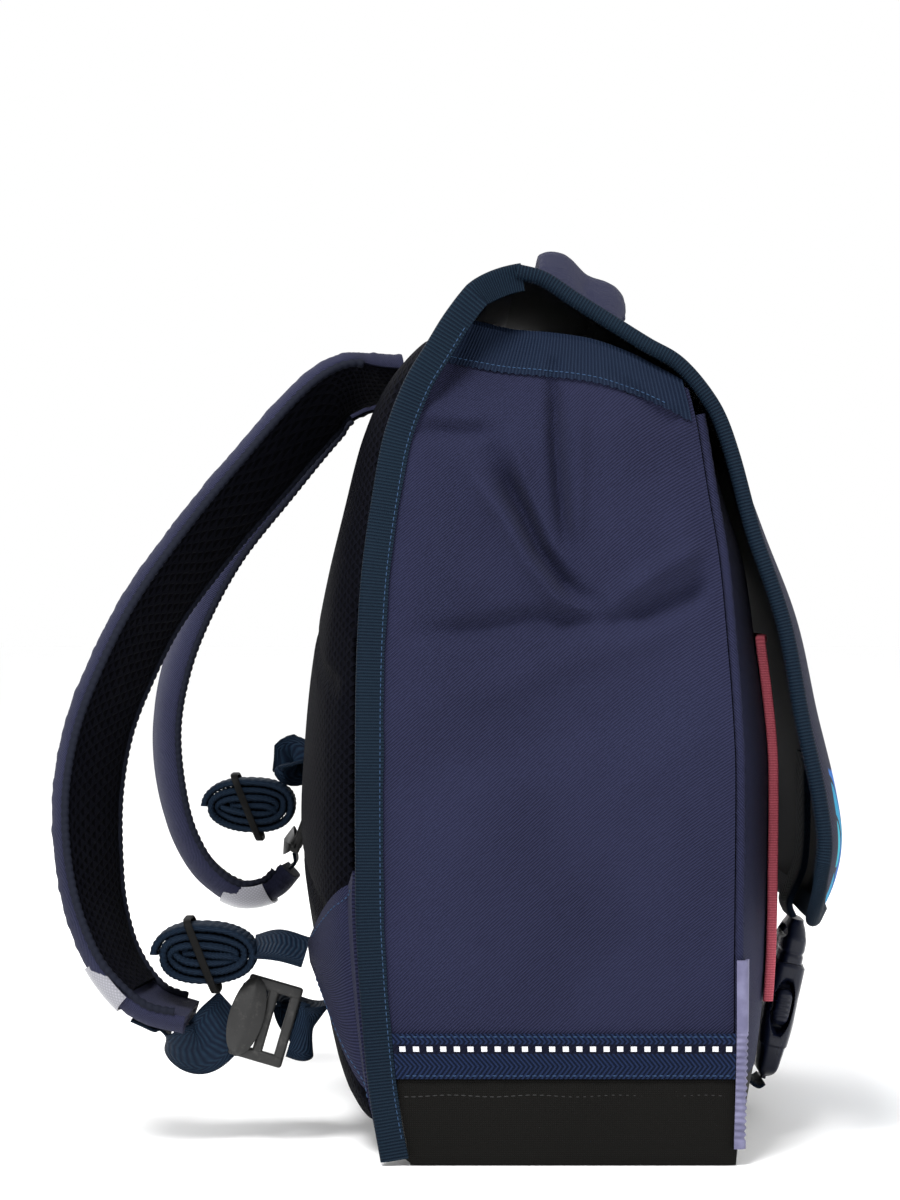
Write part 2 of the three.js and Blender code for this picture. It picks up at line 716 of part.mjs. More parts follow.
function makeFlap() {
  const stations = flapStations();
  const last = stations.length - 1;
  const across = (u) => stations[Math.round(u * last)];
  const geometry = sheetBody(
    last,
    flapRows,
    (u, v) => flapPoint(across(u), v, panelWall / 2),
    (u, v) => flapPoint(across(u), v, -panelWall / 2),
  );
  addPiece("flap", geometry, finishes.navyTwill);
}

// Frames along an edge: inward points show which way the cloth lies, and "up" points away from it.
function edgeFrames(places, inwards, normals) {
  return places.map((place, i) => {
    const next = places[Math.min(i + 1, places.length - 1)];
    const run = next.clone().sub(places[Math.max(i - 1, 0)]).normalize();
    const inward = inwards[i].clone().sub(place);
    inward.addScaledVector(run, -inward.dot(run)).normalize();
    const side = run.clone().cross(inward).normalize();
    const facing = side.dot(normals[i]) < 0 ? -1 : 1;
    return { place, side: side.multiplyScalar(facing), up: inward.negate() };
  });
}

// The tape's ring at a place on the flap's edge: it lies on both faces of the facet that leads inwards.
function flapTapeRing([u, v], [innerU, innerV]) {
  const span = flapPoint(u, v, 0).distanceTo(flapPoint(innerU, innerV, 0));
  const at = (reach, out) => flapPoint(u, v, out).lerp(flapPoint(innerU, innerV, out), reach / span);
  const slot = panelWall / 2 + curveGap;
  const outside = slot + bindingWall;
  const fold = (off, bight) => [
    at(flapTapeFoot, off),
    at(0, off),
    at(-bight, 0),
    at(0, -off),
    at(flapTapeFoot, -off),
  ];
  return [...fold(outside, bightRoom + bindingWall), ...fold(slot, bightRoom).reverse()];
}

function makeFlapBinding() {
  const stations = flapStations();
  const innerU = stations[1];
  const innerV = 1 - 1 / flapRows;
  const rings = [];
  for (let i = 0; i < flapRows; i += 1) {
    rings.push(flapTapeRing([-1, i / flapRows], [innerU, i / flapRows]));
  }
  stations.forEach((u) => {
    const corner = Math.abs(u) === 1;
    rings.push(flapTapeRing([u, 1], [corner ? -u * innerU : u, innerV]));
  });
  for (let i = flapRows - 1; i >= 0; i -= 1) {
    rings.push(flapTapeRing([1, i / flapRows], [-innerU, i / flapRows]));
  }
  addPiece("flap_binding", bodyFromRings(rings, stripCaps(4)), finishes.grosgrain);
}

// Handle: two padded lobes across the top of the flap, raised at the middle.
const handleSeat = 0.088; // share of the way down the flap
const flapTopFace = panelWall / 2 + seamGap;

function handleSection(width, thickness) {
  const section = [];
  const steps = 6;
  const waist = 0.6; // thickness between the two lobes, as a share of the whole
  const edge = 0.05;
  const lobes = (s) => waist + (1 - waist) * Math.sin(Math.PI * s) ** 2;
  const halfAt = (s) => (thickness / 2) * lobes(s) * Math.sqrt(Math.max(1 - s ** 6, edge));
  for (let i = 0; i <= steps; i += 1) {
    const s = mix(1, -1, i / steps);
    section.push(new THREE.Vector2((s * width) / 2, halfAt(s)));
  }
  for (let i = 0; i <= steps; i += 1) {
    const s = mix(-1, 1, i / steps);
    section.push(new THREE.Vector2((s * width) / 2, -halfAt(s)));
  }
  return section;
}

function makeHandle() {
  const steps = 12;
  const frames = [];
  const thicknessAt = (t) => handleThickness * mix(0.45, 1, Math.min(4 * t, 4 * (1 - t), 1));
  for (let i = 0; i <= steps; i += 1) {
    const t = i / steps;
    const u = mix(-handleLength / 2, handleLength / 2, t) / flapHalf;
    const lift = flapTopFace + thicknessAt(t) / 2 + fingerGap * Math.sin(Math.PI * t) ** 0.8;
    const place = flapPoint(u, handleSeat, lift);
    const up = flapPoint(u, handleSeat, lift + 1).sub(place).normalize();
    frames.push({ place, side: vec(0, up.z, -up.y), up });
  }
  const geometry = sweptBody((t) => handleSection(handleWidth, thicknessAt(t)), frames);
  addPiece("handle", geometry, finishes.navyTwill);
}

function makeHandleTab(side, word) {
  const near = handleLength / 2 + seamGap;
  const far = near + handleTabLength;
  const along = handleWidth / flapCurve.getLength() / 2;
  const point = (u, v, out) =>
    flapPoint((side * mix(near, far, u)) / flapHalf, handleSeat + mix(-along, along, v), flapTopFace + out);
  const geometry = sheetBody(
    2,
    4,
    (u, v) => point(u, v, webbingThickness),
    (u, v) => point(u, v, 0),
  );
  addPiece("handle_tab_" + word, geometry, finishes.navyTwill);
}

// Front pocket and its red edge
function makePocket() {
  const half = pocketWidth / 2 - pocketTrimWidth;
  const point = (u, v, out) => {
    const x = mix(-half, half, u);
    const z = mix(pocketBottom, pocketTop - pocketTrimWidth, v);
    return vec(x, frontFace(x, z) - curveGap - out, z);
  };
  const geometry = sheetBody(
    10,
    7,
    (u, v) => point(u, v, pocketThickness),
    (u, v) => point(u, v, 0),
  );
  addPiece("front_pocket", geometry, finishes.navyTwill);
}

function makePocketTrim() {
  const half = (pocketWidth - pocketTrimWidth) / 2 + seamGap;
  const top = pocketTop - pocketTrimWidth / 2 + seamGap;
  const trimThickness = pocketThickness + webbingThickness;
  const line = [];
  const sideSteps = 8;
  const topSteps = 10;
  for (let i = 0; i < sideSteps; i += 1) {
    line.push([-half, mix(pocketBottom, top, i / sideSteps)]);
  }
  for (let i = 0; i <= topSteps; i += 1) {
    line.push([mix(-half, half, i / topSteps), top]);
  }
  for (let i = sideSteps - 1; i >= 0; i -= 1) {
    line.push([half, mix(pocketBottom, top, i / sideSteps)]);
  }
  const places = line.map(([x, z]) => vec(x, frontFace(x, z) - curveGap - trimThickness / 2, z));
  const centre = (pocketBottom + pocketTop) / 2;
  const inwards = places.map((p) => vec(p.x * 0.9, p.y, mix(p.z, centre, 0.1)));
  const frames = edgeFrames(places, inwards, places.map(() => vec(0, -1, 0)));
  const section = roundedBox2(trimThickness, pocketTrimWidth - seamGap, 1, 1);
  addPiece("front_pocket_trim", sweptBody(() => section, frames), finishes.redTrim);
}

// Shoulder straps
function strapFrames(side, line) {
  const seat = bodyDepth * backProfile[0].back;
  const places = line.map((row) =>
    vec(side * row.out * strapSpread, seat + row.back * strapReach, row.rise * bodyHeight),
  );
  const rolls = line.map((row, i) => ({ at: i / (line.length - 1), roll: row.roll }));
  const curve = new THREE.CatmullRomCurve3(places, false, "centripetal");
  const steps = 20;
  const frames = [];
  for (let i = 0; i <= steps; i += 1) {
    const t = i / steps;
    const run = curve.getTangent(t);
    const across = vec(1, 0, 0).addScaledVector(run, -run.x).normalize();
    const roll = THREE.MathUtils.degToRad(readTable(rolls, "roll", t));
    across.applyAxisAngle(run, side * roll * -1);
    frames.push({ place: curve.getPoint(t), side: across, up: run.clone().cross(across).negate(), run });
  }
  return frames;
}

function strapWidthAt(t) {
  return strapWidth * (1 - 0.3 * smoothStep(0.8, 1, t)) * (1 - 0.1 * (1 - smoothStep(0, 0.12, t)));
}

// A strap's thickness at a share of its half width, -1 to 1, as a share of the middle's.
function strapCrown(s) {
  return Math.sqrt(Math.max(1 - s ** 4, 0.12));
}

// Section between two faces: each is given by its height at the middle of the strap, and by whether it
// falls off towards the edges.
function strapSection(width, low, high, lowAt, highAt) {
  const section = [];
  const steps = 4;
  for (let i = 0; i <= steps; i += 1) {
    const s = mix(1, -1, i / steps);
    section.push(new THREE.Vector2((s * width) / 2, high * highAt(s)));
  }
  for (let i = 0; i <= steps; i += 1) {
    const s = mix(-1, 1, i / steps);
    section.push(new THREE.Vector2((s * width) / 2, low * lowAt(s)));
  }
  return section;
}

// A strap's upper end is seated on the padding: its first ring follows the padding's face.
function seatOnPad(ring) {
  ring.forEach((p) => p.setY(padFace(p.x, p.z) + curveGap));
}

function makeStrap(side, word, line) {
  const frames = strapFrames(side, line);
  const half = strapThickness / 2;
  const meshInset = 0.94; // width of the mesh and length of it, as shares of the strap's
  const meshLength = 0.92;
  const flat = () => 1;
  const cloth = (t) => strapSection(strapWidthAt(t), -strapSeam, half, flat, strapCrown);
  const lining = (t) =>
    strapSection(strapWidthAt(t * meshLength) * meshInset, -half, -strapSeam - seamGap, strapCrown, flat);
  addPiece("shoulder_strap_" + word, sweptBody(cloth, frames, seatOnPad), finishes.navyTwill);
  addPiece("strap_mesh_" + word, sweptBody(lining, frames.slice(0, -2), seatOnPad), finishes.airMesh);
  makeBand(word, frames);
  return frames;
}

// Reflective band round the outer face, near the strap's lower end.
function makeBand(word, frames) {
  const last = frames.length - 1;
  const middle = Math.round(bandPlace * last);
  const bandFrames = [-1, 0, 1].map((k) => {
    const { place, side, up } = frames[middle + k];
    const reach = place.distanceTo(frames[middle].place) || 1;
    const along = frames[middle].place.clone().lerp(place, (Math.abs(k) * bandLength) / 2 / reach);
    return { place: along, side, up };
  });
  const inside = strapThickness / 2;
  const lift = (s) => strapCrown(s) + curveGap / inside;
  const liftOut = (s) => lift(s) + bandThickness / inside;
  const section = strapSection(strapWidthAt(middle / last), inside, inside, lift, liftOut);
  addPiece("reflective_band_" + word, sweptBody(() => section, bandFrames), finishes.reflective);
}

// The exact direction of the first or the last step, so that a cut end lies flat against its neighbour.
function endRun(rows, i) {
  const k = i === 0 ? 0 : rows.length - 2;
  return rows[k + 1].place.clone().sub(rows[k].place).normalize();
}

// A length of webbing along places, each with the direction of its width.
function webbing(name, rows, width, thickness, steps) {
  const curve = new THREE.CatmullRomCurve3(rows.map((row) => row.place), false, "centripetal");
  const widths = ["x", "y", "z"].map((axis) =>
    rows.map((row, i) => ({ at: i / (rows.length - 1), value: row.width[axis] })),
  );
  const frames = [];
  for (let i = 0; i <= steps; i += 1) {
    const t = i / steps;
    const run = i === 0 || i === steps ? endRun(rows, i) : curve.getTangent(t);
    const across = vec(...widths.map((table) => readTable(table, "value", t)));
    across.addScaledVector(run, -across.dot(run)).normalize();
    frames.push({ place: curve.getPoint(t), side: across, up: run.clone().cross(across) });
  }
  const section = roundedBox2(width, thickness, thickness * 0.3, 1);
  addPiece(name, sweptBody(() => section, frames), finishes.grosgrain);
}

// Anchor tabs, webbing and adjusters
const tabApexRise = 0.226; // height of a tab's apex, as a share of bodyHeight
const tabApexInset = 44; // how far in from the side its apex lies
const tabLow = 0.045; // where a tab is sewn into the back seam, as shares of bodyHeight
const tabHigh = 0.325;
const tabStandOff = 5; // clear of the padding
const tabSeamInset = 1;
const tabTaper = 0.9; // how far its two edges have drawn together at the apex

function tabPoint(side, u, v, out) {
  const rise = mix(mix(tabLow, tabHigh, u), tabApexRise, v * tabTaper);
  const z = rise * bodyHeight;
  const x = halfWidth - clothWall - bindingWall - mix(tabSeamInset, tabApexInset, v);
  return vec(side * x, padFace(x, z) + curveGap + tabStandOff * v * v + out, z);
}

function makeAnchorTab(side, word) {
  const geometry = sheetBody(
    5,
    5,
    (u, v) => tabPoint(side, u, v, tabThickness),
    (u, v) => tabPoint(side, u, v, 0),
  );
  addPiece("anchor_tab_" + word, geometry, finishes.navyTwill);
}

// The adjuster of each strap. Places are given from the strap's lower end, and those of the loop from
// the roll or the lock that it names, all as shares of bundleLength: out is sideways, away from the
// middle, in is towards the body, and rise is upwards.
const adjusterLeft = {
  lock: { out: 0.0, in: 0.7, rise: -0.22 },
  lockWidthRun: vec(0, -0.15, 0.99),
  lockLengthRun: vec(0, -0.99, -0.15),
  bundle: { out: -0.03, in: 0.14, rise: 0.56 },
  loopFromBundle: { out: -0.31, in: 0.36, rise: -0.356 },
  loopBesideLock: { out: -0.4375, in: 0.18, rise: 0.124 },
  loopPastLock: { out: -0.083, in: 0.416, rise: -0.063 },
};
const adjusterRight = {
  lock: { out: 0.0, in: 0.146, rise: 0.42 },
  lockWidthRun: vec(1, 0, 0),
  lockLengthRun: vec(0, -0.35, 0.94),
  bundle: { out: -0.65, in: -0.36, rise: 0.68 },
  loopFromBundle: { out: 0, in: 0.3, rise: 0.405 },
};

function fromEnd(side, end, offset) {
  const reach = bundleLength;
  return end.clone().add(vec(side * offset.out * reach, -offset.in * reach, offset.rise * reach));
}

// A plate of an outline, with its middle in the plane.
function plateFrom(outline, thickness) {
  const geometry = new THREE.ExtrudeGeometry(outline, { depth: thickness, bevelEnabled: false });
  return geometry.translate(0, 0, -thickness / 2);
}

// The lock's plate lies in the plane of its width and its length; the webbing runs along its length.
function makeLock(word, place, widthRun, lengthRun) {
  const lock = new THREE.Group();
  const across = widthRun.clone().normalize();
  const along = lengthRun.clone().normalize();
  const basis = new THREE.Matrix4().makeBasis(along, across, along.clone().cross(across));
  lock.quaternion.setFromRotationMatrix(basis);
  lock.position.copy(place);
  satchel.add(lock);
  const outline = new THREE.Shape(roundedBox2(lockLength, lockWidth, 4, 2));
  [-1, 1].forEach((s) => {
    const slot = roundedBox2(lockLength * 0.2, webbingWidth + lockSlotRoom, 1.5, 1);
    outline.holes.push(new THREE.Path(slot.map((p) => p.setX(p.x + s * lockLength * 0.2))));
  });
  addPiece("ladder_lock_" + word, plateFrom(outline, lockThickness), finishes.lockPlastic, lock);
}

// Rolled spare webbing: a flattened oval seen from the side, as wide as the webbing, with a band.
function makeBundle(word, place) {
  const oval = [];
  const steps = 18;
  const squareness = 0.8;
  for (let k = 0; k < steps; k += 1) {
    const angle = (2 * Math.PI * k) / steps;
    const c = Math.cos(angle);
    const s = Math.sin(angle);
    const x = Math.sign(c) * Math.abs(c) ** squareness * (bundleLength / 2);
    const y = Math.sign(s) * Math.abs(s) ** squareness * (bundleHeight / 2);
    oval.push(new THREE.Vector2(x, y));
  }
  const bundle = new THREE.Group();
  bundle.position.copy(place);
  satchel.add(bundle);
  const roll = plateFrom(new THREE.Shape(oval), webbingWidth);
  roll.rotateX(Math.PI / 2).rotateZ(Math.PI / 2);
  addPiece("webbing_bundle_" + word, roll, finishes.grosgrain, bundle);
  const inside = { width: webbingWidth + 2 * curveGap, height: bundleHeight + 2 * curveGap };
  const wall = 2 * rubberThickness;
  const outline = new THREE.Shape(roundedBox2(inside.width + wall, inside.height + wall, 2.5));
  outline.holes.push(new THREE.Path(roundedBox2(inside.width, inside.height, 1.5)));
  const band = plateFrom(outline, rubberWidth).rotateX(Math.PI / 2);
  addPiece("bundle_band_" + word, band, finishes.rubber, bundle);
}

function makeAdjusterLeft(word, frames, apex) {
  const { lock: lockOffset, bundle: bundleOffset, lockWidthRun, lockLengthRun } = adjusterLeft;
  const end = frames.at(-1);
  const lock = fromEnd(-1, end.place, lockOffset);
  const bundle = fromEnd(-1, end.place, bundleOffset);
  makeLock(word, lock, lockWidthRun, lockLengthRun);
  makeBundle(word, bundle);
  const lockReach = lockLength / 2 + 2 * seamGap;
  const lockNear = lock.clone().addScaledVector(lockLengthRun, -lockReach);
  const lockFar = lock.clone().addScaledVector(lockLengthRun, lockReach);
  const under = (strapThickness + webbingWidth) / 2 + 3 * runOut + seamGap;
  const atLock = lockWidthRun.clone().negate();
  const strapRows = [
    { place: end.place.clone().add(vec(0, 5 * runOut, -under - curveGap)), width: vec(0, 0, -1) },
    { place: end.place.clone().add(vec(0, 0, -under)), width: vec(0, 0, -1) },
    { place: lockNear.clone().addScaledVector(lockLengthRun, -6 * runOut), width: atLock },
    { place: lockNear.clone().addScaledVector(lockLengthRun, -3 * runOut), width: atLock },
    { place: lockNear, width: atLock },
  ];
  webbing("strap_webbing_" + word, strapRows, webbingWidth, webbingThickness, 8);
  const leaving = vec(0, -bundleLength / 2 - seamGap, webbingThickness * bundleEndRise);
  const bundleEnd = bundle.clone().add(leaving);
  const anchorRows = [
    { place: apex.clone().add(vec(0, -webbingThickness, 0)), width: vec(1, 0, 0) },
    { place: apex.clone().lerp(bundleEnd, 0.5), width: vec(1, 0, 0) },
    { place: bundleEnd, width: vec(1, 0, 0) },
  ];
  webbing("anchor_webbing_" + word, anchorRows, webbingWidth, webbingThickness, 6);
  const loopRows = [
    { place: fromEnd(-1, bundle, adjusterLeft.loopFromBundle), width: vec(1, 0, 0) },
    { place: fromEnd(-1, lock, adjusterLeft.loopBesideLock), width: vec(1, 0, 0.2) },
    { place: fromEnd(-1, lock, adjusterLeft.loopPastLock), width: vec(0.4, -0.3, 0.85) },
    { place: lockFar.clone().addScaledVector(lockLengthRun, 4 * runOut), width: lockWidthRun },
    { place: lockFar, width: lockWidthRun },
  ];
  webbing("adjuster_loop_" + word, loopRows, webbingWidth, webbingThickness, 12);
}

function makeAdjusterRight(word, frames, apex) {
  const { lock: lockOffset, bundle: bundleOffset, lockWidthRun, lockLengthRun } = adjusterRight;
  const end = frames.at(-1);
  const lock = fromEnd(1, end.place, lockOffset);
  const bundle = fromEnd(1, end.place, bundleOffset);
  makeLock(word, lock, lockWidthRun, lockLengthRun);
  makeBundle(word, bundle);
  const lockReach = lockLength / 2 + 2 * seamGap;
  const lockNear = lock.clone().addScaledVector(lockLengthRun, -lockReach);
  const lockTop = lock.clone().addScaledVector(lockLengthRun, lockReach);
  const strapRows = [
    { place: end.place.clone().addScaledVector(end.run, 2 * seamGap), width: vec(1, 0, 0) },
    { place: end.place.clone().addScaledVector(end.run, 3 * runOut), width: vec(1, 0, 0) },
    { place: lockNear, width: vec(1, 0, 0) },
  ];
  webbing("strap_webbing_" + word, strapRows, webbingWidth, webbingThickness, 4);
  const bagFace = lock.clone().add(vec(0, -lockThickness / 2 - 2 * webbingThickness, 0));
  const anchorRows = [
    { place: apex.clone().add(vec(0, -curveGap, 0)), width: vec(0.9, 0, -0.4) },
    { place: apex.clone().lerp(bagFace, 0.5), width: vec(1, 0, -0.2) },
    { place: bagFace.clone().addScaledVector(lockLengthRun, -4 * runOut), width: vec(1, 0, 0) },
    { place: bagFace, width: vec(1, 0, 0) },
  ];
  webbing("anchor_webbing_" + word, anchorRows, webbingWidth, webbingThickness, 10);
  const bundleEnd = fromEnd(1, bundle, adjusterRight.loopFromBundle);
  const loopRows = [
    { place: lockTop, width: vec(1, 0, 0) },
    { place: lockTop.clone().addScaledVector(lockLengthRun, 4 * runOut), width: vec(1, 0, 0) },
    { place: lockTop.clone().lerp(bundleEnd, 0.5).add(vec(0, 0, 8 * runOut)), width: vec(1, 0, 0) },
    { place: bundleEnd.clone().add(vec(0, -4 * runOut, runOut)), width: vec(1, 0, 0) },
    { place: bundleEnd, width: vec(1, 0, 0) },
  ];
  webbing("adjuster_loop_" + word, loopRows, webbingWidth, webbingThickness, 10);
}

// Closure: webbing from under the flap, the side-release buckle and its lower webbing
const buckleTop = 0.236; // height of the buckle's top, as a share of bodyHeight
const buckleLean = 12; // degrees: its foot leans in towards the body
const buckleStandOff = 8.5; // gap between its top and the front pocket

const buckle = new THREE.Group();
const buckleHead = vec(
  0,
  frontFace(0, buckleTop * bodyHeight) - curveGap - pocketThickness - buckleThickness / 2 - buckleStandOff,
  buckleTop * bodyHeight,
);
buckle.position.copy(buckleHead);
buckle.rotation.set(THREE.MathUtils.degToRad(buckleLean), 0, 0);
satchel.add(buckle);

// Right-hand outlines in the buckle's face: half is a share of half its width, down a share of its
// length from the plug's top to the foot.
const plugOutline = [
  { half: 0.62, down: 0 },
  { half: 0.86, down: 0.03 },
  { half: 0.96, down: 0.1 },
  { half: 0.96, down: 0.24 },
  { half: 0.84, down: 0.27 },
  { half: 0.8, down: 0.44 },
  { half: 0.95, down: 0.5 },
  { half: 0.97, down: 0.6 },
  { half: 0.8, down: 0.64 },
  { half: 0.7, down: 0.6 },
  { half: 0.7, down: 0.27 },
  { half: 0, down: 0.27 },
];
const socketOutline = [
  { half: 0.6, down: 0.278 },
  { half: 0.66, down: 0.31 },
  { half: 0.64, down: 0.66 },
  { half: 0.72, down: 0.7 },
  { half: 0.94, down: 0.68 },
  { half: 0.98, down: 0.78 },
  { half: 0.9, down: 0.94 },
  { half: 0.7, down: 1 },
];

// A closed plate of a thickness from its right-hand outline and the mirrored one.
function mirroredPlate(outline, thickness, bevel) {
  const side = (rows, sign) =>
    rows.map(({ half, down }) => new THREE.Vector2((sign * half * buckleWidth) / 2, -down * buckleLength));
  const right = side(outline, 1);
  const left = side(outline.filter((row) => row.half > 0), -1).reverse();
  const geometry = new THREE.ExtrudeGeometry(new THREE.Shape([...right, ...left]), {
    depth: thickness - 2 * bevel,
    bevelEnabled: bevel > 0,
    bevelThickness: bevel,
    bevelSize: bevel,
    bevelOffset: -bevel,
    bevelSegments: 1,
  });
  return geometry.translate(0, 0, bevel - thickness / 2).rotateX(Math.PI / 2);
}

function makeBuckle() {
  const plug = mirroredPlate(plugOutline, plugThickness, 0);
  const socket = mirroredPlate(socketOutline, buckleThickness, socketBevel);
  addPiece("buckle_plug", plug, finishes.bucklePlastic, buckle);
  addPiece("buckle_socket", socket, finishes.bucklePlastic, buckle);
}

function makeClosure() {
  makeBuckle();
  buckle.updateMatrixWorld(true);
  const plugTop = buckle.localToWorld(vec(0, 2 * runOut, curveGap + seamGap));
  const foot = buckle.localToWorld(vec(0, 0, -buckleLength - curveGap));
  const underFlap = flapPoint(0, 0.8, -panelWall / 2 - webbingThickness - 2 * curveGap);
  const behind = -panelWall / 2 - 2 * curveGap - bindingWall - 2 * webbingThickness;
  const behindTape = flapPoint(0, 0.95, behind);
  const underHem = flapPoint(0, 1, behind).add(vec(0, -curveGap, -2 * runOut));
  const wide = vec(1, 0, 0);
  const topRows = [
    { place: underFlap, width: wide },
    { place: behindTape, width: wide },
    { place: underHem, width: wide },
    { place: plugTop, width: wide },
  ];
  webbing("flap_strap", topRows, closureWidth, 2 * webbingThickness, 10);
  const rise = bodyHeight * 0.11;
  const seat = vec(0, frontFace(0, rise) - curveGap - webbingThickness, rise);
  const lowRows = [
    { place: foot, width: wide },
    { place: vec(0, mix(foot.y, seat.y, 0.5), foot.z - runOut), width: wide },
    { place: vec(0, frontFace(0, rise * 0.5) - curveGap - webbingThickness * 1.5, rise * 0.5), width: wide },
    { place: seat, width: wide },
  ];
  webbing("buckle_lower_strap", lowRows, closureWidth, webbingThickness, 12);
}

makeBackPanel();
makeFrontPanel();
makeBasePanel();
makeBackPadding();
makeFlap();
makeFlapBinding();
makeHandle();
makePocket();
makePocketTrim();
makeClosure();
const sides = [
  [-1, "left", strapLineLeft, makeAdjusterLeft],
  [1, "right", strapLineRight, makeAdjusterRight],
];
for (const [side, word, line, makeAdjuster] of sides) {
  makeSidePanel(side, word);
  makeEdgeBinding(side, word);
  makePiping(side, word);
  makeSideTape(side, word);
  makeGussetRibbon(side, word);
  makeCornerGuard(side, word);
  makeHandleTab(side, word);
  const frames = makeStrap(side, word, line);
  makeAnchorTab(side, word);
  const apex = tabPoint(side, 0.5, 1, tabThickness + curveGap + webbingThickness + seamGap);
  makeAdjuster(word, frames, apex);
}

export default satchel;
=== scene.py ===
import math

import bmesh
import bpy
import numpy as np
from mathutils import Matrix, Vector


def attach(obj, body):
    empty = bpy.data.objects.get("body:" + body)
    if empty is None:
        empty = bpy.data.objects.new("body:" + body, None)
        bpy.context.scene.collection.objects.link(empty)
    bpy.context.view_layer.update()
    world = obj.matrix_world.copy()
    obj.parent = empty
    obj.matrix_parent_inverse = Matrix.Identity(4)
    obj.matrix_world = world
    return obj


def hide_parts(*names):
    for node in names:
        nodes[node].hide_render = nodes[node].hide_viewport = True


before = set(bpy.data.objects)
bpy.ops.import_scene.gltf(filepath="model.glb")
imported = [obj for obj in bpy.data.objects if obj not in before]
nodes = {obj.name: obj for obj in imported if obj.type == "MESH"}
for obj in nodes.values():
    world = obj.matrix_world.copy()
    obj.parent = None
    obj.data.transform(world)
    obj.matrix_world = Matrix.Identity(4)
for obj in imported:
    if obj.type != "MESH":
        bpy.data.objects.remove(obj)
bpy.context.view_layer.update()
scene = bpy.context.scene
mm = 0.001

# camera, floor and light

camera = {"x": -1.5, "y": 0.0491, "z": 0.2373, "lens": 96.43, "sensor": 36}
studio = {"sky": (1.0, 1.0, 1.0), "skyStrength": 1.0, "floor": (1.0, 1.0, 1.0)}
lamps = [  # name, place, size, watts
    ("keyLamp", (-1.2, 0.5, 1.7), 0.7, 44),
    ("frontLamp", (-0.9, -1.7, 1.0), 1.2, 9),
    ("backLamp", (1.3, 1.2, 1.2), 1.4, 12),
]

cameraPlace = (camera["x"], camera["y"], camera["z"])
bpy.ops.object.camera_add(location=cameraPlace, rotation=(math.pi / 2, 0, -math.pi / 2))
scene.camera = bpy.context.object
scene.camera.data.lens = camera["lens"]
scene.camera.data.sensor_width = camera["sensor"]
scene.camera.data.clip_end = 50

scene.view_settings.view_transform = "Standard"
world = bpy.data.worlds.new("paleStudio")
scene.world = world
world.use_nodes = True
sky = world.node_tree.nodes["Background"]
sky.inputs["Color"].default_value = (*studio["sky"], 1)
sky.inputs["Strength"].default_value = studio["skyStrength"]

for lampName, place, size, watts in lamps:
    bpy.ops.object.light_add(type="AREA", location=place)
    lamp = bpy.context.object
    lamp.name = lampName
    lamp.data.shape = "DISK"
    lamp.data.size = size
    lamp.data.energy = watts
    lamp.rotation_euler = (Vector((0, 0, 0.2)) - Vector(place)).to_track_quat("-Z", "Y").to_euler()

bpy.ops.mesh.primitive_plane_add(size=30, location=(0, 0, -0.0004))
floor = bpy.context.object
floor.name = "pale_floor"
paleFloor = bpy.data.materials.new("paleFloor")
paleFloor.use_nodes = True
paleFloor.node_tree.nodes["Principled BSDF"].inputs["Base Color"].default_value = (*studio["floor"], 1)
paleFloor.node_tree.nodes["Principled BSDF"].inputs["Roughness"].default_value = 0.9
floor.data.materials.append(paleFloor)

# small helpers for material nodes


def startMaterial(name, roughness, sheen=0.0, specular=0.5, metallic=0.0):
    material = bpy.data.materials.new(name)
    material.use_nodes = True
    tree = material.node_tree
    shader = tree.nodes["Principled BSDF"]
    shader.inputs["Roughness"].default_value = roughness
    shader.inputs["Sheen Weight"].default_value = sheen
    shader.inputs["Sheen Roughness"].default_value = 0.45
    shader.inputs["Specular IOR Level"].default_value = specular
    shader.inputs["Metallic"].default_value = metallic
    return material, tree, shader


def plug(tree, socket, value):
    if isinstance(value, bpy.types.NodeSocket):
        tree.links.new(value, socket)
    else:
        socket.default_value = value


def calc(tree, operation, a, b=None, clamp=False):
    made = tree.nodes.new("ShaderNodeMath")
    made.operation = operation
    made.use_clamp = clamp
    plug(tree, made.inputs[0], a)
    if b is not None:
        plug(tree, made.inputs[1], b)
    return made.outputs[0]


def wave(tree, along, pitch, shift=0.0):
    turned = calc(tree, "MULTIPLY", along, 2 * math.pi / pitch)
    raised = calc(tree, "SINE", calc(tree, "ADD", turned, shift))
    return calc(tree, "ADD", calc(tree, "MULTIPLY", raised, 0.5), 0.5)


def remap(tree, value, low, high, to=(0.0, 1.0)):
    made = tree.nodes.new("ShaderNodeMapRange")
    made.interpolation_type = "SMOOTHSTEP"
    plug(tree, made.inputs["Value"], value)
    made.inputs["From Min"].default_value = low
    made.inputs["From Max"].default_value = high
    made.inputs["To Min"].default_value = to[0]
    made.inputs["To Max"].default_value = to[1]
    return made.outputs["Result"]


def blendColour(tree, share, a, b, kind="MIX"):
    made = tree.nodes.new("ShaderNodeMix")
    made.data_type = "RGBA"
    made.blend_type = kind
    plug(tree, made.inputs["Factor"], share)
    plug(tree, made.inputs["A"], a if isinstance(a, bpy.types.NodeSocket) else (*a, 1))
    plug(tree, made.inputs["B"], b if isinstance(b, bpy.types.NodeSocket) else (*b, 1))
    return made.outputs["Result"]


def noise(tree, coords, scale, detail=3.0, rough=0.5):
    made = tree.nodes.new("ShaderNodeTexNoise")
    made.inputs["Scale"].default_value = scale
    made.inputs["Detail"].default_value = detail
    made.inputs["Roughness"].default_value = rough
    plug(tree, made.inputs["Vector"], coords)
    return made.outputs["Fac"]


def bump(tree, shader, height, distance, strength=1.0):
    made = tree.nodes.new("ShaderNodeBump")
    made.inputs["Distance"].default_value = distance
    made.inputs["Strength"].default_value = strength
    plug(tree, made.inputs["Height"], height)
    tree.links.new(made.outputs["Normal"], shader.inputs["Normal"])


def objectCoords(tree):
    return tree.nodes.new("ShaderNodeTexCoord").outputs["Object"]


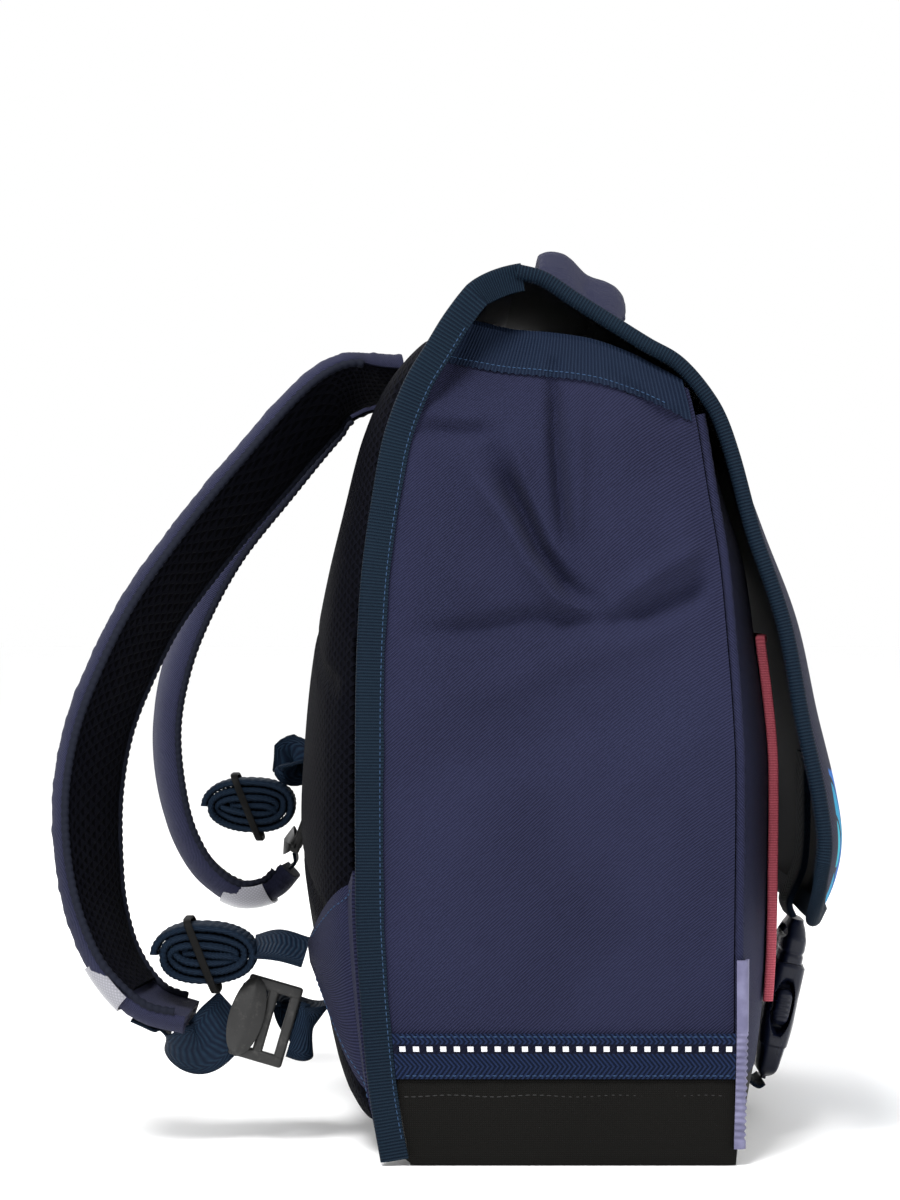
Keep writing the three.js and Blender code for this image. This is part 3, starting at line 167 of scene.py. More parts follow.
def clothCoords(tree):
    # own UV map in metres: u across the cloth, v along it
    uv = tree.nodes.new("ShaderNodeUVMap")
    uv.uv_map = "UVMap"
    split = tree.nodes.new("ShaderNodeSeparateXYZ")
    tree.links.new(uv.outputs["UV"], split.inputs["Vector"])
    return split.outputs["X"], split.outputs["Y"]


def finishCloth(tree, shader, height, dark, light, depth, tone=0.35, fade=None):
    place = objectCoords(tree)
    large = remap(tree, noise(tree, place, 14, 4), 0.3, 0.7)
    fine = noise(tree, place, 900, 2)
    share = calc(tree, "ADD", calc(tree, "MULTIPLY", height, 1 - tone), calc(tree, "MULTIPLY", fine, tone))
    weave = blendColour(tree, share, dark, light)
    worn = blendColour(tree, calc(tree, "MULTIPLY", large, 0.22), weave, fade or light)
    tree.links.new(worn, shader.inputs["Base Color"])
    bump(tree, shader, height, depth)


# materials

twill = {
    "pitch": 1.45 * mm, "depth": 0.32 * mm,
    "dark": (0.002, 0.0022, 0.008), "light": (0.026, 0.029, 0.07),
}
grosgrain = {
    "pitch": 1.35 * mm, "depth": 0.5 * mm,
    "dark": (0.0012, 0.003, 0.009), "light": (0.007, 0.017, 0.029),
}
meshCloth = {
    "pitch": 4.3 * mm, "depth": 1.1 * mm,
    "hole": (0.0004, 0.0004, 0.0008), "yarn": (0.0042, 0.0045, 0.008),
}
canvas = {
    "pitch": 0.9 * mm, "depth": 0.12 * mm,
    "dark": (0.0018, 0.0017, 0.0015), "light": (0.0068, 0.0064, 0.0056),
}
printColours = {"cyan": (0.01, 0.34, 0.6), "blue": (0.02, 0.18, 0.62), "line": (0.003, 0.004, 0.008)}


def twillHeight(tree, u, v, pitch):
    diagonal = calc(tree, "ADD", u, v)
    cross = calc(tree, "SUBTRACT", u, v)
    cord = wave(tree, diagonal, pitch)
    yarn = wave(tree, cross, pitch * 0.55)
    return calc(tree, "MULTIPLY", cord, remap(tree, yarn, 0.0, 1.0, (0.55, 1.0)))


def makeTwill(name, dark, light, sheen=0.02, onCloth=True):
    material, tree, shader = startMaterial(name, 0.72, sheen, 0.07)
    u, v = clothCoords(tree) if onCloth else wallCoords(tree)
    finishCloth(tree, shader, twillHeight(tree, u, v, twill["pitch"]), dark, light, twill["depth"])
    return material


def makeGrosgrain(name, dark, light, pitch, depth):
    material, tree, shader = startMaterial(name, 0.66, 0.0, 0.06)
    u, v = clothCoords(tree)
    rib = wave(tree, v, pitch)
    yarn = remap(tree, wave(tree, u, pitch * 0.7), 0.0, 1.0, (0.75, 1.0))
    finishCloth(tree, shader, calc(tree, "MULTIPLY", rib, yarn), dark, light, depth, 0.2)
    return material


def makeWebbing(name, dark, light):
    # herringbone of two slanted rib fields that meet along the middle of each quarter
    material, tree, shader = startMaterial(name, 0.64, 0.0, 0.07)
    u, v = clothCoords(tree)
    quarter = calc(tree, "PINGPONG", u, 3.1 * mm)
    rib = wave(tree, calc(tree, "ADD", v, quarter), 1.9 * mm)
    yarn = remap(tree, wave(tree, u, 0.9 * mm), 0.0, 1.0, (0.7, 1.0))
    finishCloth(tree, shader, calc(tree, "MULTIPLY", rib, yarn), dark, light, 0.35 * mm, 0.2)
    return material


def wallCoords(tree):
    # along a wall and up it, from the object's own place
    split = tree.nodes.new("ShaderNodeSeparateXYZ")
    tree.links.new(objectCoords(tree), split.inputs["Vector"])
    return calc(tree, "ADD", split.outputs["X"], split.outputs["Y"]), split.outputs["Z"]


def makeMesh(name, pitch, onCloth=True):
    material, tree, shader = startMaterial(name, 0.8, 0.0, 0.03)
    u, v = clothCoords(tree) if onCloth else wallCoords(tree)
    low = calc(tree, "MULTIPLY", u, 0.5)
    high = calc(tree, "MULTIPLY", v, 0.866)
    a = wave(tree, u, pitch)
    b = wave(tree, calc(tree, "ADD", low, high), pitch)
    c = wave(tree, calc(tree, "SUBTRACT", low, high), pitch)
    lattice = calc(tree, "ADD", calc(tree, "ADD", a, b), c)
    yarn = remap(tree, lattice, 1.35, 2.1, (1.0, 0.0))
    knit = wave(tree, calc(tree, "ADD", u, v), pitch * 0.21)
    height = calc(tree, "MULTIPLY", yarn, remap(tree, knit, 0.0, 1.0, (0.8, 1.0)))
    finishCloth(tree, shader, height, meshCloth["hole"], meshCloth["yarn"], meshCloth["depth"], 0.15)
    return material


def makeCanvas(name):
    material, tree, shader = startMaterial(name, 0.62, 0.0, 0.06)
    along, up = wallCoords(tree)
    warp = wave(tree, along, canvas["pitch"])
    weft = wave(tree, up, canvas["pitch"])
    height = calc(tree, "MULTIPLY", warp, weft)
    finishCloth(tree, shader, height, canvas["dark"], canvas["light"], canvas["depth"])
    return material


def makeDashedTape(name):
    # herringbone tape with a row of pale reflective dashes woven in above its middle
    material, tree, shader = startMaterial(name, 0.66, 0.0, 0.06)
    u, v = clothCoords(tree)
    quarter = calc(tree, "PINGPONG", v, 5.2 * mm)
    rib = wave(tree, calc(tree, "ADD", u, calc(tree, "MULTIPLY", quarter, 0.8)), 2.0 * mm)
    cell = calc(tree, "FLOORED_MODULO", u, 5.6 * mm)
    inRow = calc(tree, "COMPARE", v, 12.6 * mm)
    inRow.node.inputs[2].default_value = 1.1 * mm
    inDash = calc(tree, "COMPARE", cell, 2.8 * mm)
    inDash.node.inputs[2].default_value = 1.25 * mm
    dash = calc(tree, "MULTIPLY", inRow, inDash)
    # painted shade: the band round the dash row is darkened as if it were a sunken track, though the bump does
    # not sink it
    track = calc(tree, "COMPARE", v, 12.6 * mm)
    track.node.inputs[2].default_value = 2.0 * mm
    plain = blendColour(tree, rib, grosgrain["dark"], (0.009, 0.017, 0.05))
    paintedTrackShade = blendColour(tree, track, plain, (0.003, 0.004, 0.012))
    colour = blendColour(tree, dash, paintedTrackShade, (0.6, 0.61, 0.63))
    tree.links.new(colour, shader.inputs["Base Color"])
    bump(tree, shader, calc(tree, "MAXIMUM", rib, calc(tree, "MULTIPLY", dash, 1.4)), 0.35 * mm)
    return material


def makePlastic(name, colour, worn, roughness, grain=1400, depth=0.03, specular=0.3):
    material, tree, shader = startMaterial(name, roughness, 0.0, specular)
    place = objectCoords(tree)
    scuffs = remap(tree, noise(tree, place, 240, 6, 0.7), 0.52, 0.72)
    tone = blendColour(tree, calc(tree, "MULTIPLY", scuffs, 0.5), colour, worn)
    tree.links.new(tone, shader.inputs["Base Color"])
    rough = remap(tree, noise(tree, place, 90, 4), 0.3, 0.7, (roughness - 0.08, roughness + 0.14))
    tree.links.new(rough, shader.inputs["Roughness"])
    bump(tree, shader, noise(tree, place, grain, 2), depth * mm)
    return material


def makePrint(name):
    # a bold made-up pattern on the flap: rolling bands and rings in two blues with black outlines
    material, tree, shader = startMaterial(name, 0.6, 0.0, 0.1)
    u, v = clothCoords(tree)
    weave = twillHeight(tree, u, v, twill["pitch"])
    cloth = blendColour(tree, weave, twill["dark"], twill["light"])
    swell = calc(tree, "MULTIPLY", wave(tree, u, 96 * mm), 26 * mm)
    height = calc(tree, "ADD", v, swell)
    stripes = calc(tree, "PINGPONG", height, 19 * mm)
    bands = remap(tree, stripes, 8.4 * mm, 8.8 * mm)
    outline = calc(tree, "COMPARE", stripes, 8.6 * mm)
    outline.node.inputs[2].default_value = 1.5 * mm
    cellU = calc(tree, "SUBTRACT", calc(tree, "FLOORED_MODULO", u, 48 * mm), 24 * mm)
    cellV = calc(tree, "SUBTRACT", calc(tree, "FLOORED_MODULO", v, 54 * mm), 27 * mm)
    far = calc(tree, "SQRT", calc(tree, "ADD", calc(tree, "POWER", cellU, 2), calc(tree, "POWER", cellV, 2)))
    disc = remap(tree, far, 10.4 * mm, 10.8 * mm, (1.0, 0.0))
    ring = calc(tree, "COMPARE", far, 10.8 * mm)
    ring.node.inputs[2].default_value = 1.2 * mm
    painted = blendColour(tree, bands, printColours["cyan"], printColours["blue"])
    painted = blendColour(tree, outline, painted, printColours["line"])
    painted = blendColour(tree, disc, painted, (0.03, 0.5, 0.66))
    painted = blendColour(tree, ring, painted, printColours["line"])
    inU = calc(tree, "COMPARE", u, 152 * mm)
    inU.node.inputs[2].default_value = 128 * mm
    lowEdge = remap(tree, v, 264 * mm, 266 * mm)
    patch = calc(tree, "MULTIPLY", inU, lowEdge)
    colour = blendColour(tree, patch, cloth, blendColour(tree, 0.25, painted, cloth))
    tree.links.new(colour, shader.inputs["Base Color"])
    bump(tree, shader, weave, twill["depth"])
    return material


def makeGuardRubber(name):
    material, tree, shader = startMaterial(name, 0.5, 0.0, 0.15)
    place = objectCoords(tree)
    dust = remap(tree, noise(tree, place, 120, 5), 0.35, 0.75)
    colour = blendColour(tree, dust, (0.105, 0.102, 0.175), (0.16, 0.156, 0.25))
    tree.links.new(colour, shader.inputs["Base Color"])
    bump(tree, shader, noise(tree, place, 700, 3), 0.05 * mm)
    return material


def makeReflective(name):
    material, tree, shader = startMaterial(name, 0.32, 0.0, 0.6, 0.35)
    u, v = clothCoords(tree)
    cell = 2.2 * mm
    rising = wave(tree, calc(tree, "ADD", u, v), cell)
    falling = wave(tree, calc(tree, "SUBTRACT", u, v), cell)
    cells = calc(tree, "MULTIPLY", rising, falling)
    colour = blendColour(tree, cells, (0.2, 0.2, 0.225), (0.3, 0.3, 0.33))
    tree.links.new(colour, shader.inputs["Base Color"])
    bump(tree, shader, cells, 0.06 * mm)
    return material


def makeThread(name, colour):
    material, tree, shader = startMaterial(name, 0.7, 0.0, 0.06)
    fuzz = noise(tree, objectCoords(tree), 2600, 3)
    tree.links.new(blendColour(tree, fuzz, colour, tuple(1.8 * c for c in colour)), shader.inputs["Base Color"])
    bump(tree, shader, fuzz, 0.08 * mm)
    return material


navyTwill = makeTwill("navyTwill", twill["dark"], twill["light"])
strapTwill = makeTwill("strapTwill", (0.0035, 0.0039, 0.011), (0.038, 0.041, 0.086))
smoothNavy = makeTwill("smoothNavyCloth", (0.01, 0.011, 0.029), (0.022, 0.024, 0.056), 0.04)
liningCloth = makeTwill("flapLining", (0.0012, 0.0014, 0.004), (0.0026, 0.003, 0.008), 0.0)
bindingTape = makeGrosgrain(
    "bindingTape", grosgrain["dark"], grosgrain["light"], grosgrain["pitch"], grosgrain["depth"],
)
ribbonTape = makeGrosgrain("gussetRibbon", (0.002, 0.0045, 0.014), (0.011, 0.019, 0.038), 1.3 * mm, 0.4 * mm)
strapWebbing = makeWebbing("strapWebbing", (0.0015, 0.003, 0.01), (0.009, 0.021, 0.039))
airMesh = makeMesh("airMesh", meshCloth["pitch"])
padMesh = makeMesh("paddingMesh", 3.6 * mm, False)
baseCanvas = makeCanvas("baseCanvas")
dashedTape = makeDashedTape("dashedTape")
flapPrint = makePrint("flapPrint")
guardRubber = makeGuardRubber("guardRubber")
redTape = makeGrosgrain("redTrimTape", (0.2, 0.03, 0.045), (0.46, 0.1, 0.13), 1.1 * mm, 0.2 * mm)
buckleResin = makePlastic("buckleResin", (0.004, 0.006, 0.017), (0.01, 0.013, 0.028), 0.32)
lockResin = makePlastic("lockResin", (0.016, 0.016, 0.016), (0.06, 0.058, 0.055), 0.5, 500, 0.12)
bandRubber = makePlastic("bandRubber", (0.004, 0.004, 0.004), (0.012, 0.012, 0.012), 0.6, specular=0.08)
reflectiveTape = makeReflective("reflectiveTape")
blueThread = makeThread("blueThread", (0.02, 0.04, 0.08))
blackThread = makeThread("blackThread", (0.02, 0.02, 0.02))
edgeCord = makeThread("edgeCord", (0.006, 0.007, 0.012))
handleCloth = makeTwill("handleCloth", (0.009, 0.01, 0.026), (0.022, 0.024, 0.056), 0.04, False)
print("materials ready")

# small helpers for pieces


def nothingSelected():
    bpy.ops.object.select_all(action="DESELECT")


def applyModifier(piece, kind, **settings):
    made = piece.modifiers.new(kind.title(), kind)
    for key, value in settings.items():
        setattr(made, key, value)
    nothingSelected()
    piece.select_set(True)
    bpy.context.view_layer.objects.active = piece
    bpy.ops.object.modifier_apply(modifier=made.name)


def turnOutwards(piece, outward=None):
    shape = bmesh.new()
    shape.from_mesh(piece.data)
    if outward is None:
        bmesh.ops.recalc_face_normals(shape, faces=shape.faces)
    else:
        facing = sum((f.normal * f.calc_area()).dot(outward(f.calc_center_median() / mm)) for f in shape.faces)
        if facing < 0:
            bmesh.ops.reverse_faces(shape, faces=shape.faces)
    shape.to_mesh(piece.data)
    shape.free()


def layGrid(name, columns, rows, placeAt, size):
    # a flat grid laid over a shape: placeAt(u, v) gives each point in millimetres, size its cloth in millimetres
    nothingSelected()
    bpy.ops.mesh.primitive_grid_add(x_subdivisions=columns, y_subdivisions=rows, size=1, calc_uvs=True)
    piece = bpy.context.object
    piece.name = name
    piece.data.name = name
    for vertex in piece.data.vertices:
        vertex.co = Vector(placeAt(vertex.co.x + 0.5, vertex.co.y + 0.5)) * mm
    for corner in piece.data.uv_layers["UVMap"].data:
        corner.uv = (corner.uv[0] * size[0] * mm, corner.uv[1] * size[1] * mm)
    return piece


def closeTube(piece):
    # joins the two long edges of a grid that runs round a section, and fills its ends
    shape = bmesh.new()
    shape.from_mesh(piece.data)
    bmesh.ops.remove_doubles(shape, verts=shape.verts, dist=0.00002)
    rims = [e for e in shape.edges if e.is_boundary]
    bmesh.ops.holes_fill(shape, edges=rims, sides=0)
    bmesh.ops.recalc_face_normals(shape, faces=shape.faces)
    shape.to_mesh(piece.data)
    shape.free()


def wearPiece(piece, material, stands, angle=40):
    nothingSelected()
    piece.select_set(True)
    bpy.context.view_layer.objects.active = piece
    bpy.ops.object.shade_smooth_by_angle(angle=math.radians(angle))
    if material is not None:
        piece.data.materials.clear()
        piece.data.materials.append(material)
    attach(piece, "root")
    if stands:
        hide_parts(*stands)
    return piece


def mix(a, b, t):
    return a + (b - a) * t


def smoothStep(low, high, x):
    t = min(max((x - low) / (high - low), 0.0), 1.0)
    return t * t * (3 - 2 * t)


def readRows(rows, column, at):
    # one column of a table between its rows, on a smooth curve through them
    i = 0
    while i < len(rows) - 2 and at > rows[i + 1][0]:
        i += 1
    a, b = rows[i], rows[i + 1]
    before, after = rows[max(i - 1, 0)], rows[min(i + 2, len(rows) - 1)]
    span = b[0] - a[0]
    t = min(max((at - a[0]) / span, 0.0), 1.0)
    slopeA = (b[column] - before[column]) / (b[0] - before[0]) * span
    slopeB = (after[column] - a[column]) / (after[0] - a[0]) * span
    pull = (t**3 - 2 * t**2 + t) * slopeA + (t**3 - t**2) * slopeB
    return (2 * t**3 - 3 * t**2 + 1) * a[column] + (3 * t**2 - 2 * t**3) * b[column] + pull


def smoothLine(points, perSpan=24):
    # a centripetal curve through the points, as many short steps
    points = [Vector(p) for p in points]
    first = points[0] * 2 - points[1]
    last = points[-1] * 2 - points[-2]
    line = []
    for i in range(len(points) - 1):
        p1, p2 = points[i], points[i + 1]
        p0 = points[i - 1] if i else first
        p3 = points[i + 2] if i + 2 < len(points) else last
        d0, d1, d2 = (max((b - a).length ** 0.5, 0.01) for a, b in ((p0, p1), (p1, p2), (p2, p3)))
        m1 = ((p1 - p0) / d0 - (p2 - p0) / (d0 + d1) + (p2 - p1) / d1) * d1
        m2 = ((p2 - p1) / d1 - (p3 - p1) / (d1 + d2) + (p3 - p2) / d2) * d1
        for k in range(perSpan):
            t = k / perSpan
            start = (2 * t**3 - 3 * t**2 + 1) * p1 + (t**3 - 2 * t**2 + t) * m1
            line.append(start + (3 * t**2 - 2 * t**3) * p2 + (t**3 - t**2) * m2)
    line.append(points[-1])
    lengths = [0.0]
    for a, b in zip(line, line[1:]):
        lengths.append(lengths[-1] + (b - a).length)
    return {"points": line, "lengths": np.array(lengths), "length": lengths[-1]}


def onLine(line, share):
    # place and direction at a share of the line's length
    reach = min(max(share, 0.0), 1.0) * line["length"]
    i = min(int(np.searchsorted(line["lengths"], reach, side="right")) - 1, len(line["points"]) - 2)
    a, b = line["points"][i], line["points"][i + 1]
    t = (reach - line["lengths"][i]) / max(line["lengths"][i + 1] - line["lengths"][i], 1e-9)
    before, after = line["points"][max(i - 1, 0)], line["points"][min(i + 2, len(line["points"]) - 1)]
    return a.lerp(b, t), (after - before).normalized()


# the bag's shape, as the frame has it, in millimetres

bag = {
    "width": 300, "depth": 145, "height": 379, "backBelly": 19, "frontBelly": 20.5, "sideBelly": 3,
    "gussetPinch": 16, "bindingWidth": 12, "pipingRadius": 2.1, "baseBand": 36, "gap": 0.3, "curveGap": 0.8,
}
halfWidth = bag["width"] / 2
backRows = [  # height, back seam, belly
    (0.0, 0.497, 0.0), (0.09, 0.536, 0.37), (0.25, 0.569, 0.79), (0.35, 0.573, 1.0), (0.45, 0.573, 0.92),
    (0.55, 0.57, 0.74), (0.65, 0.556, 0.47), (0.74, 0.524, 0.24), (0.807, 0.49, 0.12), (0.864, 0.433, 0.1),
    (0.905, 0.369, 0.1), (0.937, 0.317, 0.08), (0.97, 0.248, 0.04), (1.0, 0.16, 0.0),
]
frontRows = [  # height, front seam, belly
    (0.0, -0.49, 0.25), (0.04, -0.493, 0.43), (0.095, -0.497, 0.7), (0.16, -0.5, 0.86), (0.22, -0.5, 0.97),
    (0.3, -0.502, 1.0), (0.44, -0.504, 1.0), (0.5, -0.497, 0.95), (0.57, -0.483, 0.86), (0.67, -0.458, 0.74),
    (0.75, -0.423, 0.48), (0.83, -0.388, 0.25), (0.87, -0.36, 0.1), (0.96, -0.28, 0.0),
]
gussetRows = [(0.0, 0.86), (0.1, 0.88), (0.2, 0.896), (0.35, 0.91), (0.65, 0.921), (0.8, 0.929), (1.0, 0.94)]
flapRows = [  # place back, height, crown
    (0.145, 0.9905, 0.0), (0.072, 0.983, 0.05), (-0.019, 0.9605, 0.1), (-0.106, 0.9395, 0.14),
    (-0.231, 0.9095, 0.18), (-0.322, 0.889, 0.2), (-0.418, 0.845, 0.24), (-0.49, 0.789, 0.32),
    (-0.586, 0.691, 0.5), (-0.664, 0.602, 0.66), (-0.717, 0.496, 0.8), (-0.768, 0.404, 0.94),
    (-0.782, 0.349, 1.0), (-0.76, 0.307, 1.0), (-0.712, 0.268, 0.96),
]


def backSeam(z):
    return bag["depth"] * readRows(backRows, 1, z / bag["height"])


def frontSeam(z):
    return bag["depth"] * readRows(frontRows, 1, z / bag["height"])


def backFace(x, z):
    belly = bag["backBelly"] * readRows(backRows, 2, z / bag["height"])
    return backSeam(z) + belly * (1 - (x / halfWidth) ** 2)


def frontFace(x, z):
    belly = bag["frontBelly"] * readRows(frontRows, 2, z / bag["height"])
    return frontSeam(z) - belly * (1 - (x / halfWidth) ** 4)


def gussetTop(share):
    return bag["height"] * readRows(gussetRows, 1, share)


def upFrames(low, high, steps, x, lineAt):
    # places up a seam, each with the direction across the bag and the one out of the seam
    found = []
    for i in range(steps + 1):
        z = mix(low, high, i / steps)
        run = Vector((0, lineAt(z + 1) - lineAt(z - 1), 2)).normalized()
        found.append((Vector((x, lineAt(z), z)), Vector((1, 0, 0)), Vector((0, run.z, -run.y))))
    return found


def sweepSection(name, frames, sectionAt, columns, length, girth, closed=True):
    # a section carried along frames; sectionAt(u, v) gives its point across the frame
    rows = len(frames) - 1

    def placeAt(u, v):
        place, side, up = frames[round(v * rows)]
        x, y = sectionAt(0 if closed and u > 0.9999 else u, v)
        return place + side * x + up * y

    piece = layGrid(name, columns, rows, placeAt, (girth, length))
    if closed:
        closeTube(piece)
    return piece


def lengthOf(frames):
    return sum((b[0] - a[0]).length for a, b in zip(frames, frames[1:]))


def foldedTape(width, slot, wall, wobble=0.25):
    # points round a tape folded over an edge: foot, bight, foot on the outer face, and back on the inner one
    half = slot / 2 + wall
    straight = width - half

    def sectionAt(u, v):
        outer = u < 0.5
        t = 2 * u if outer else 2 - 2 * u
        radius = half if outer else slot / 2
        total = 2 * straight + math.pi * half
        reach = t * total
        sway = wobble * math.sin(v * 61) * math.sin(v * 23 + 1)
        if reach < straight:
            return (-radius, -width / 2 + reach + sway)
        if reach > total - straight:
            return (radius, -width / 2 + (total - reach) + sway)
        angle = math.pi * (reach - straight) / (math.pi * half)
        return (-radius * math.cos(angle), width / 2 - half + radius * math.sin(angle))

    return sectionAt


# side panels

sidePanel = {"columns": 130, "rows": 210, "wall": 2.0, "foldSpread": 0.72, "foldDepth": 1.2}
foldLines = [  # (back, height) points, width mm, depth mm
    ([(0.215, 0.79), (0.122, 0.719), (0.081, 0.682), (-0.012, 0.634), (-0.087, 0.621)], 6.0, -8.0),
    ([(0.30, 0.78), (0.18, 0.715), (0.105, 0.665), (0.037, 0.632), (-0.046, 0.617), (-0.12, 0.617)], 6.0, 5.0),
    ([(-0.13, 0.627), (-0.174, 0.636), (-0.278, 0.662), (-0.43, 0.69)], 7.0, 4.5),
    ([(0.44, 0.588), (0.249, 0.594), (0.107, 0.604), (-0.032, 0.602), (-0.136, 0.600)], 7.0, -4.5),
    ([(-0.136, 0.6), (-0.243, 0.612), (-0.348, 0.63), (-0.44, 0.655)], 7.0, -6.0),
    ([(0.39, 0.515), (0.206, 0.529), (0.003, 0.561), (-0.174, 0.58), (-0.4, 0.617)], 12.0, 3.0),
    ([(0.04, 0.885), (0.032, 0.789), (0.017, 0.73), (-0.012, 0.67)], 4.5, -5.5),
    ([(0.165, 0.81), (0.10, 0.735), (0.012, 0.655)], 4.0, 2.2),
    ([(-0.03, 0.85), (-0.03, 0.76), (-0.02, 0.675)], 6.0, 3.2),
    ([(-0.136, 0.875), (-0.25, 0.838), (-0.3, 0.8245), (-0.385, 0.838)], 4.0, -2.4),
    ([(0.45, 0.817), (0.33, 0.812), (0.2, 0.812)], 6.0, -3.2),
    ([(0.43, 0.835), (0.32, 0.832), (0.22, 0.83)], 7.0, 2.0),
    ([(-0.2, 0.76), (-0.28, 0.70), (-0.4, 0.69)], 16.0, 1.6),
    ([(0.41, 0.72), (0.34, 0.66), (0.2, 0.63)], 12.0, 2.0),
    ([(0.42, 0.43), (0.1, 0.47), (-0.2, 0.51)], 16.0, -1.3),
    ([(-0.05, 0.37), (-0.25, 0.44), (-0.42, 0.5)], 14.0, 1.2),
]


def lineDistance(points, y, z):
    # how far a place is from a line of folds, and the share of the line where it is nearest
    best, along, run = 1e9, 0.0, 0.0
    for (ya, za), (yb, zb) in zip(points, points[1:]):
        ay, az, by, bz = ya * bag["depth"], za * bag["height"], yb * bag["depth"], zb * bag["height"]
        ry, rz = by - ay, bz - az
        t = min(max(((y - ay) * ry + (z - az) * rz) / (ry * ry + rz * rz), 0.0), 1.0)
        off = math.hypot(y - ay - t * ry, z - az - t * rz)
        if off < best:
            best, along = off, run + t * math.hypot(ry, rz)
        run += math.hypot(ry, rz)
    return best, along / run


def sideRelief(y, z, share):
    rise = z / bag["height"]
    held = smoothStep(0.0, 0.1, share) * (1 - smoothStep(0.86, 0.97, share))
    belly = bag["sideBelly"] * math.sin(math.pi * share) * smoothStep(0.15, 0.3, rise)
    folds = 0.0
    if rise > 0.3:
        for points, wide, deep in foldLines:
            off, along = lineDistance(points, y, z)
            off /= wide * sidePanel["foldSpread"]
            fade = mix(0.3, 1, smoothStep(0, 0.25, along) * (1 - smoothStep(0.75, 1, along)))
            if off < 4:
                folds += deep * sidePanel["foldDepth"] * fade * math.exp(-off * off)
    ripple = 0.35 * math.sin(0.11 * y + 0.02 * z) * math.sin(0.035 * z - 0.05 * y)
    backThird = smoothStep(0.5, 0.72, share)
    pinch = bag["gussetPinch"] * mix(0.3, 1, backThird) * smoothStep(0.8, 0.93, rise)
    return (belly + folds + ripple - pinch) * held


def sidePoint(side, share, lift, out=0.0):
    z = mix(bag["baseBand"] + bag["gap"], gussetTop(share), lift)
    y = mix(frontSeam(z) + bag["pipingRadius"] + bag["gap"], backSeam(z) + 4.4, share)
    return Vector((side * (halfWidth + sideRelief(y, z, share) + out), y, z))


def makeSidePanel(side, word):
    piece = layGrid(
        "side_panel_cloth_" + word, sidePanel["columns"], sidePanel["rows"],
        lambda u, v: sidePoint(side, u, v), (145, 320),
    )
    turnOutwards(piece, lambda place: Vector((side, 0, 0)))
    applyModifier(piece, "SOLIDIFY", thickness=sidePanel["wall"] * mm, offset=-1)
    return wearPiece(piece, navyTwill, ["side_panel_" + word])


for side, word in ((-1, "left"), (1, "right")):
    makeSidePanel(side, word)
print("side panels done")

# bindings, piping and ribbon

binding = {"wall": 1.3, "slot": 2.6, "rows": 190, "columns": 36}
piping = {"rows": 120, "columns": 14}


def makeEdgeBinding(side, word):
    x = side * (halfWidth - 1.0)
    frames = upFrames(2, bag["height"] * 0.965, binding["rows"] - 6, x, backSeam)
    low = frames[-1][0]
    turn, ridge = low + Vector((0, -7.5, 5.6)), Vector((x, 18.6, bag["height"] - bag["bindingWidth"] / 2))
    for k in range(1, 15):
        t = k / 14
        run = ((turn - low) * (1 - t) + (ridge - turn) * t).normalized()
        place = low.lerp(turn, t).lerp(turn.lerp(ridge, t), t)
        frames.append((place, Vector((1, 0, 0)), Vector((0, run.z, -run.y))))
    section = foldedTape(bag["bindingWidth"], binding["slot"], binding["wall"])
    piece = sweepSection("edge_tape_" + word, frames, section, binding["columns"], lengthOf(frames), 56)
    return wearPiece(piece, bindingTape, ["edge_binding_" + word])


def makePiping(side, word):
    x = side * (halfWidth - bag["pipingRadius"])
    frames = upFrames(bag["baseBand"] + 0.3, bag["height"] * 0.832, piping["rows"], x, frontSeam)

    def section(u, v):
        angle = 2 * math.pi * u
        radius = bag["pipingRadius"] * (1 + 0.05 * math.sin(v * 240))
        return (radius * math.cos(angle), radius * math.sin(angle))

    piece = sweepSection("front_piping_" + word, frames, section, piping["columns"], lengthOf(frames), 13)
    return wearPiece(piece, navyTwill, ["piping_" + word])


def makeRibbon(side, word):
    # the ribbon folds over the gusset's top edge and is drawn in with it
    steps = 150
    foot = 1 - 16 / (gussetTop(0.5) - bag["baseBand"])

    def placeAt(u, v):
        share = mix(0.015, 0.985, v)
        edge = sidePoint(side, share, 1)
        u = 0 if u > 0.9999 else u
        outer = u < 0.5
        t = 2 * u if outer else 2 - 2 * u
        out, drop = (1.3, 0.3) if outer else (0.3, 0.0)
        reach = t * 3
        picot = 0.35 * math.sin(v * 210) if reach < 0.08 or reach > 2.92 else 0.0
        if reach < 1.35:
            place = sidePoint(side, share, mix(foot, 1, reach / 1.35))
            return place + Vector((side * out, 0, drop * reach + picot))
        if reach > 1.65:
            place = sidePoint(side, share, mix(1, foot, (reach - 1.65) / 1.35))
            return place + Vector((-side * (2.0 + out), 0, drop * (3 - reach) + picot))
        angle = math.pi * (reach - 1.35) / 0.3
        centre = edge + Vector((-side * 1.0, 0, drop + 0.1))
        radius = 1.0 + out
        return centre + Vector((side * radius * math.cos(angle), 0, radius * math.sin(angle)))

    piece = layGrid("gusset_tape_" + word, 44, steps, placeAt, (70, 96))
    closeTube(piece)
    return wearPiece(piece, ribbonTape, ["gusset_ribbon_" + word])


for side, word in ((-1, "left"), (1, "right")):
    makeEdgeBinding(side, word)
    makePiping(side, word)
    makeRibbon(side, word)
print("bindings done")

# back, front and base

walls = {"panel": 2.4, "backHalf": 146.1, "frontHalf": 145.5}


def makeBackPanel():
    def placeAt(u, v):
        x = mix(-walls["backHalf"], walls["backHalf"], u)
        if v > 0.985:
            return Vector((x, 21.6, 376.4))
        z = mix(bag["baseBand"] + 0.3, bag["height"] * 0.985, v / 0.985)
        return Vector((x, backFace(x, z), z))

    piece = layGrid("back_panel_cloth", 40, 90, placeAt, (292, 345))
    turnOutwards(piece, lambda place: Vector((0, 1, 0.3)))
    applyModifier(piece, "SOLIDIFY", thickness=walls["panel"] * mm, offset=-1)
    return wearPiece(piece, navyTwill, ["back_panel"])


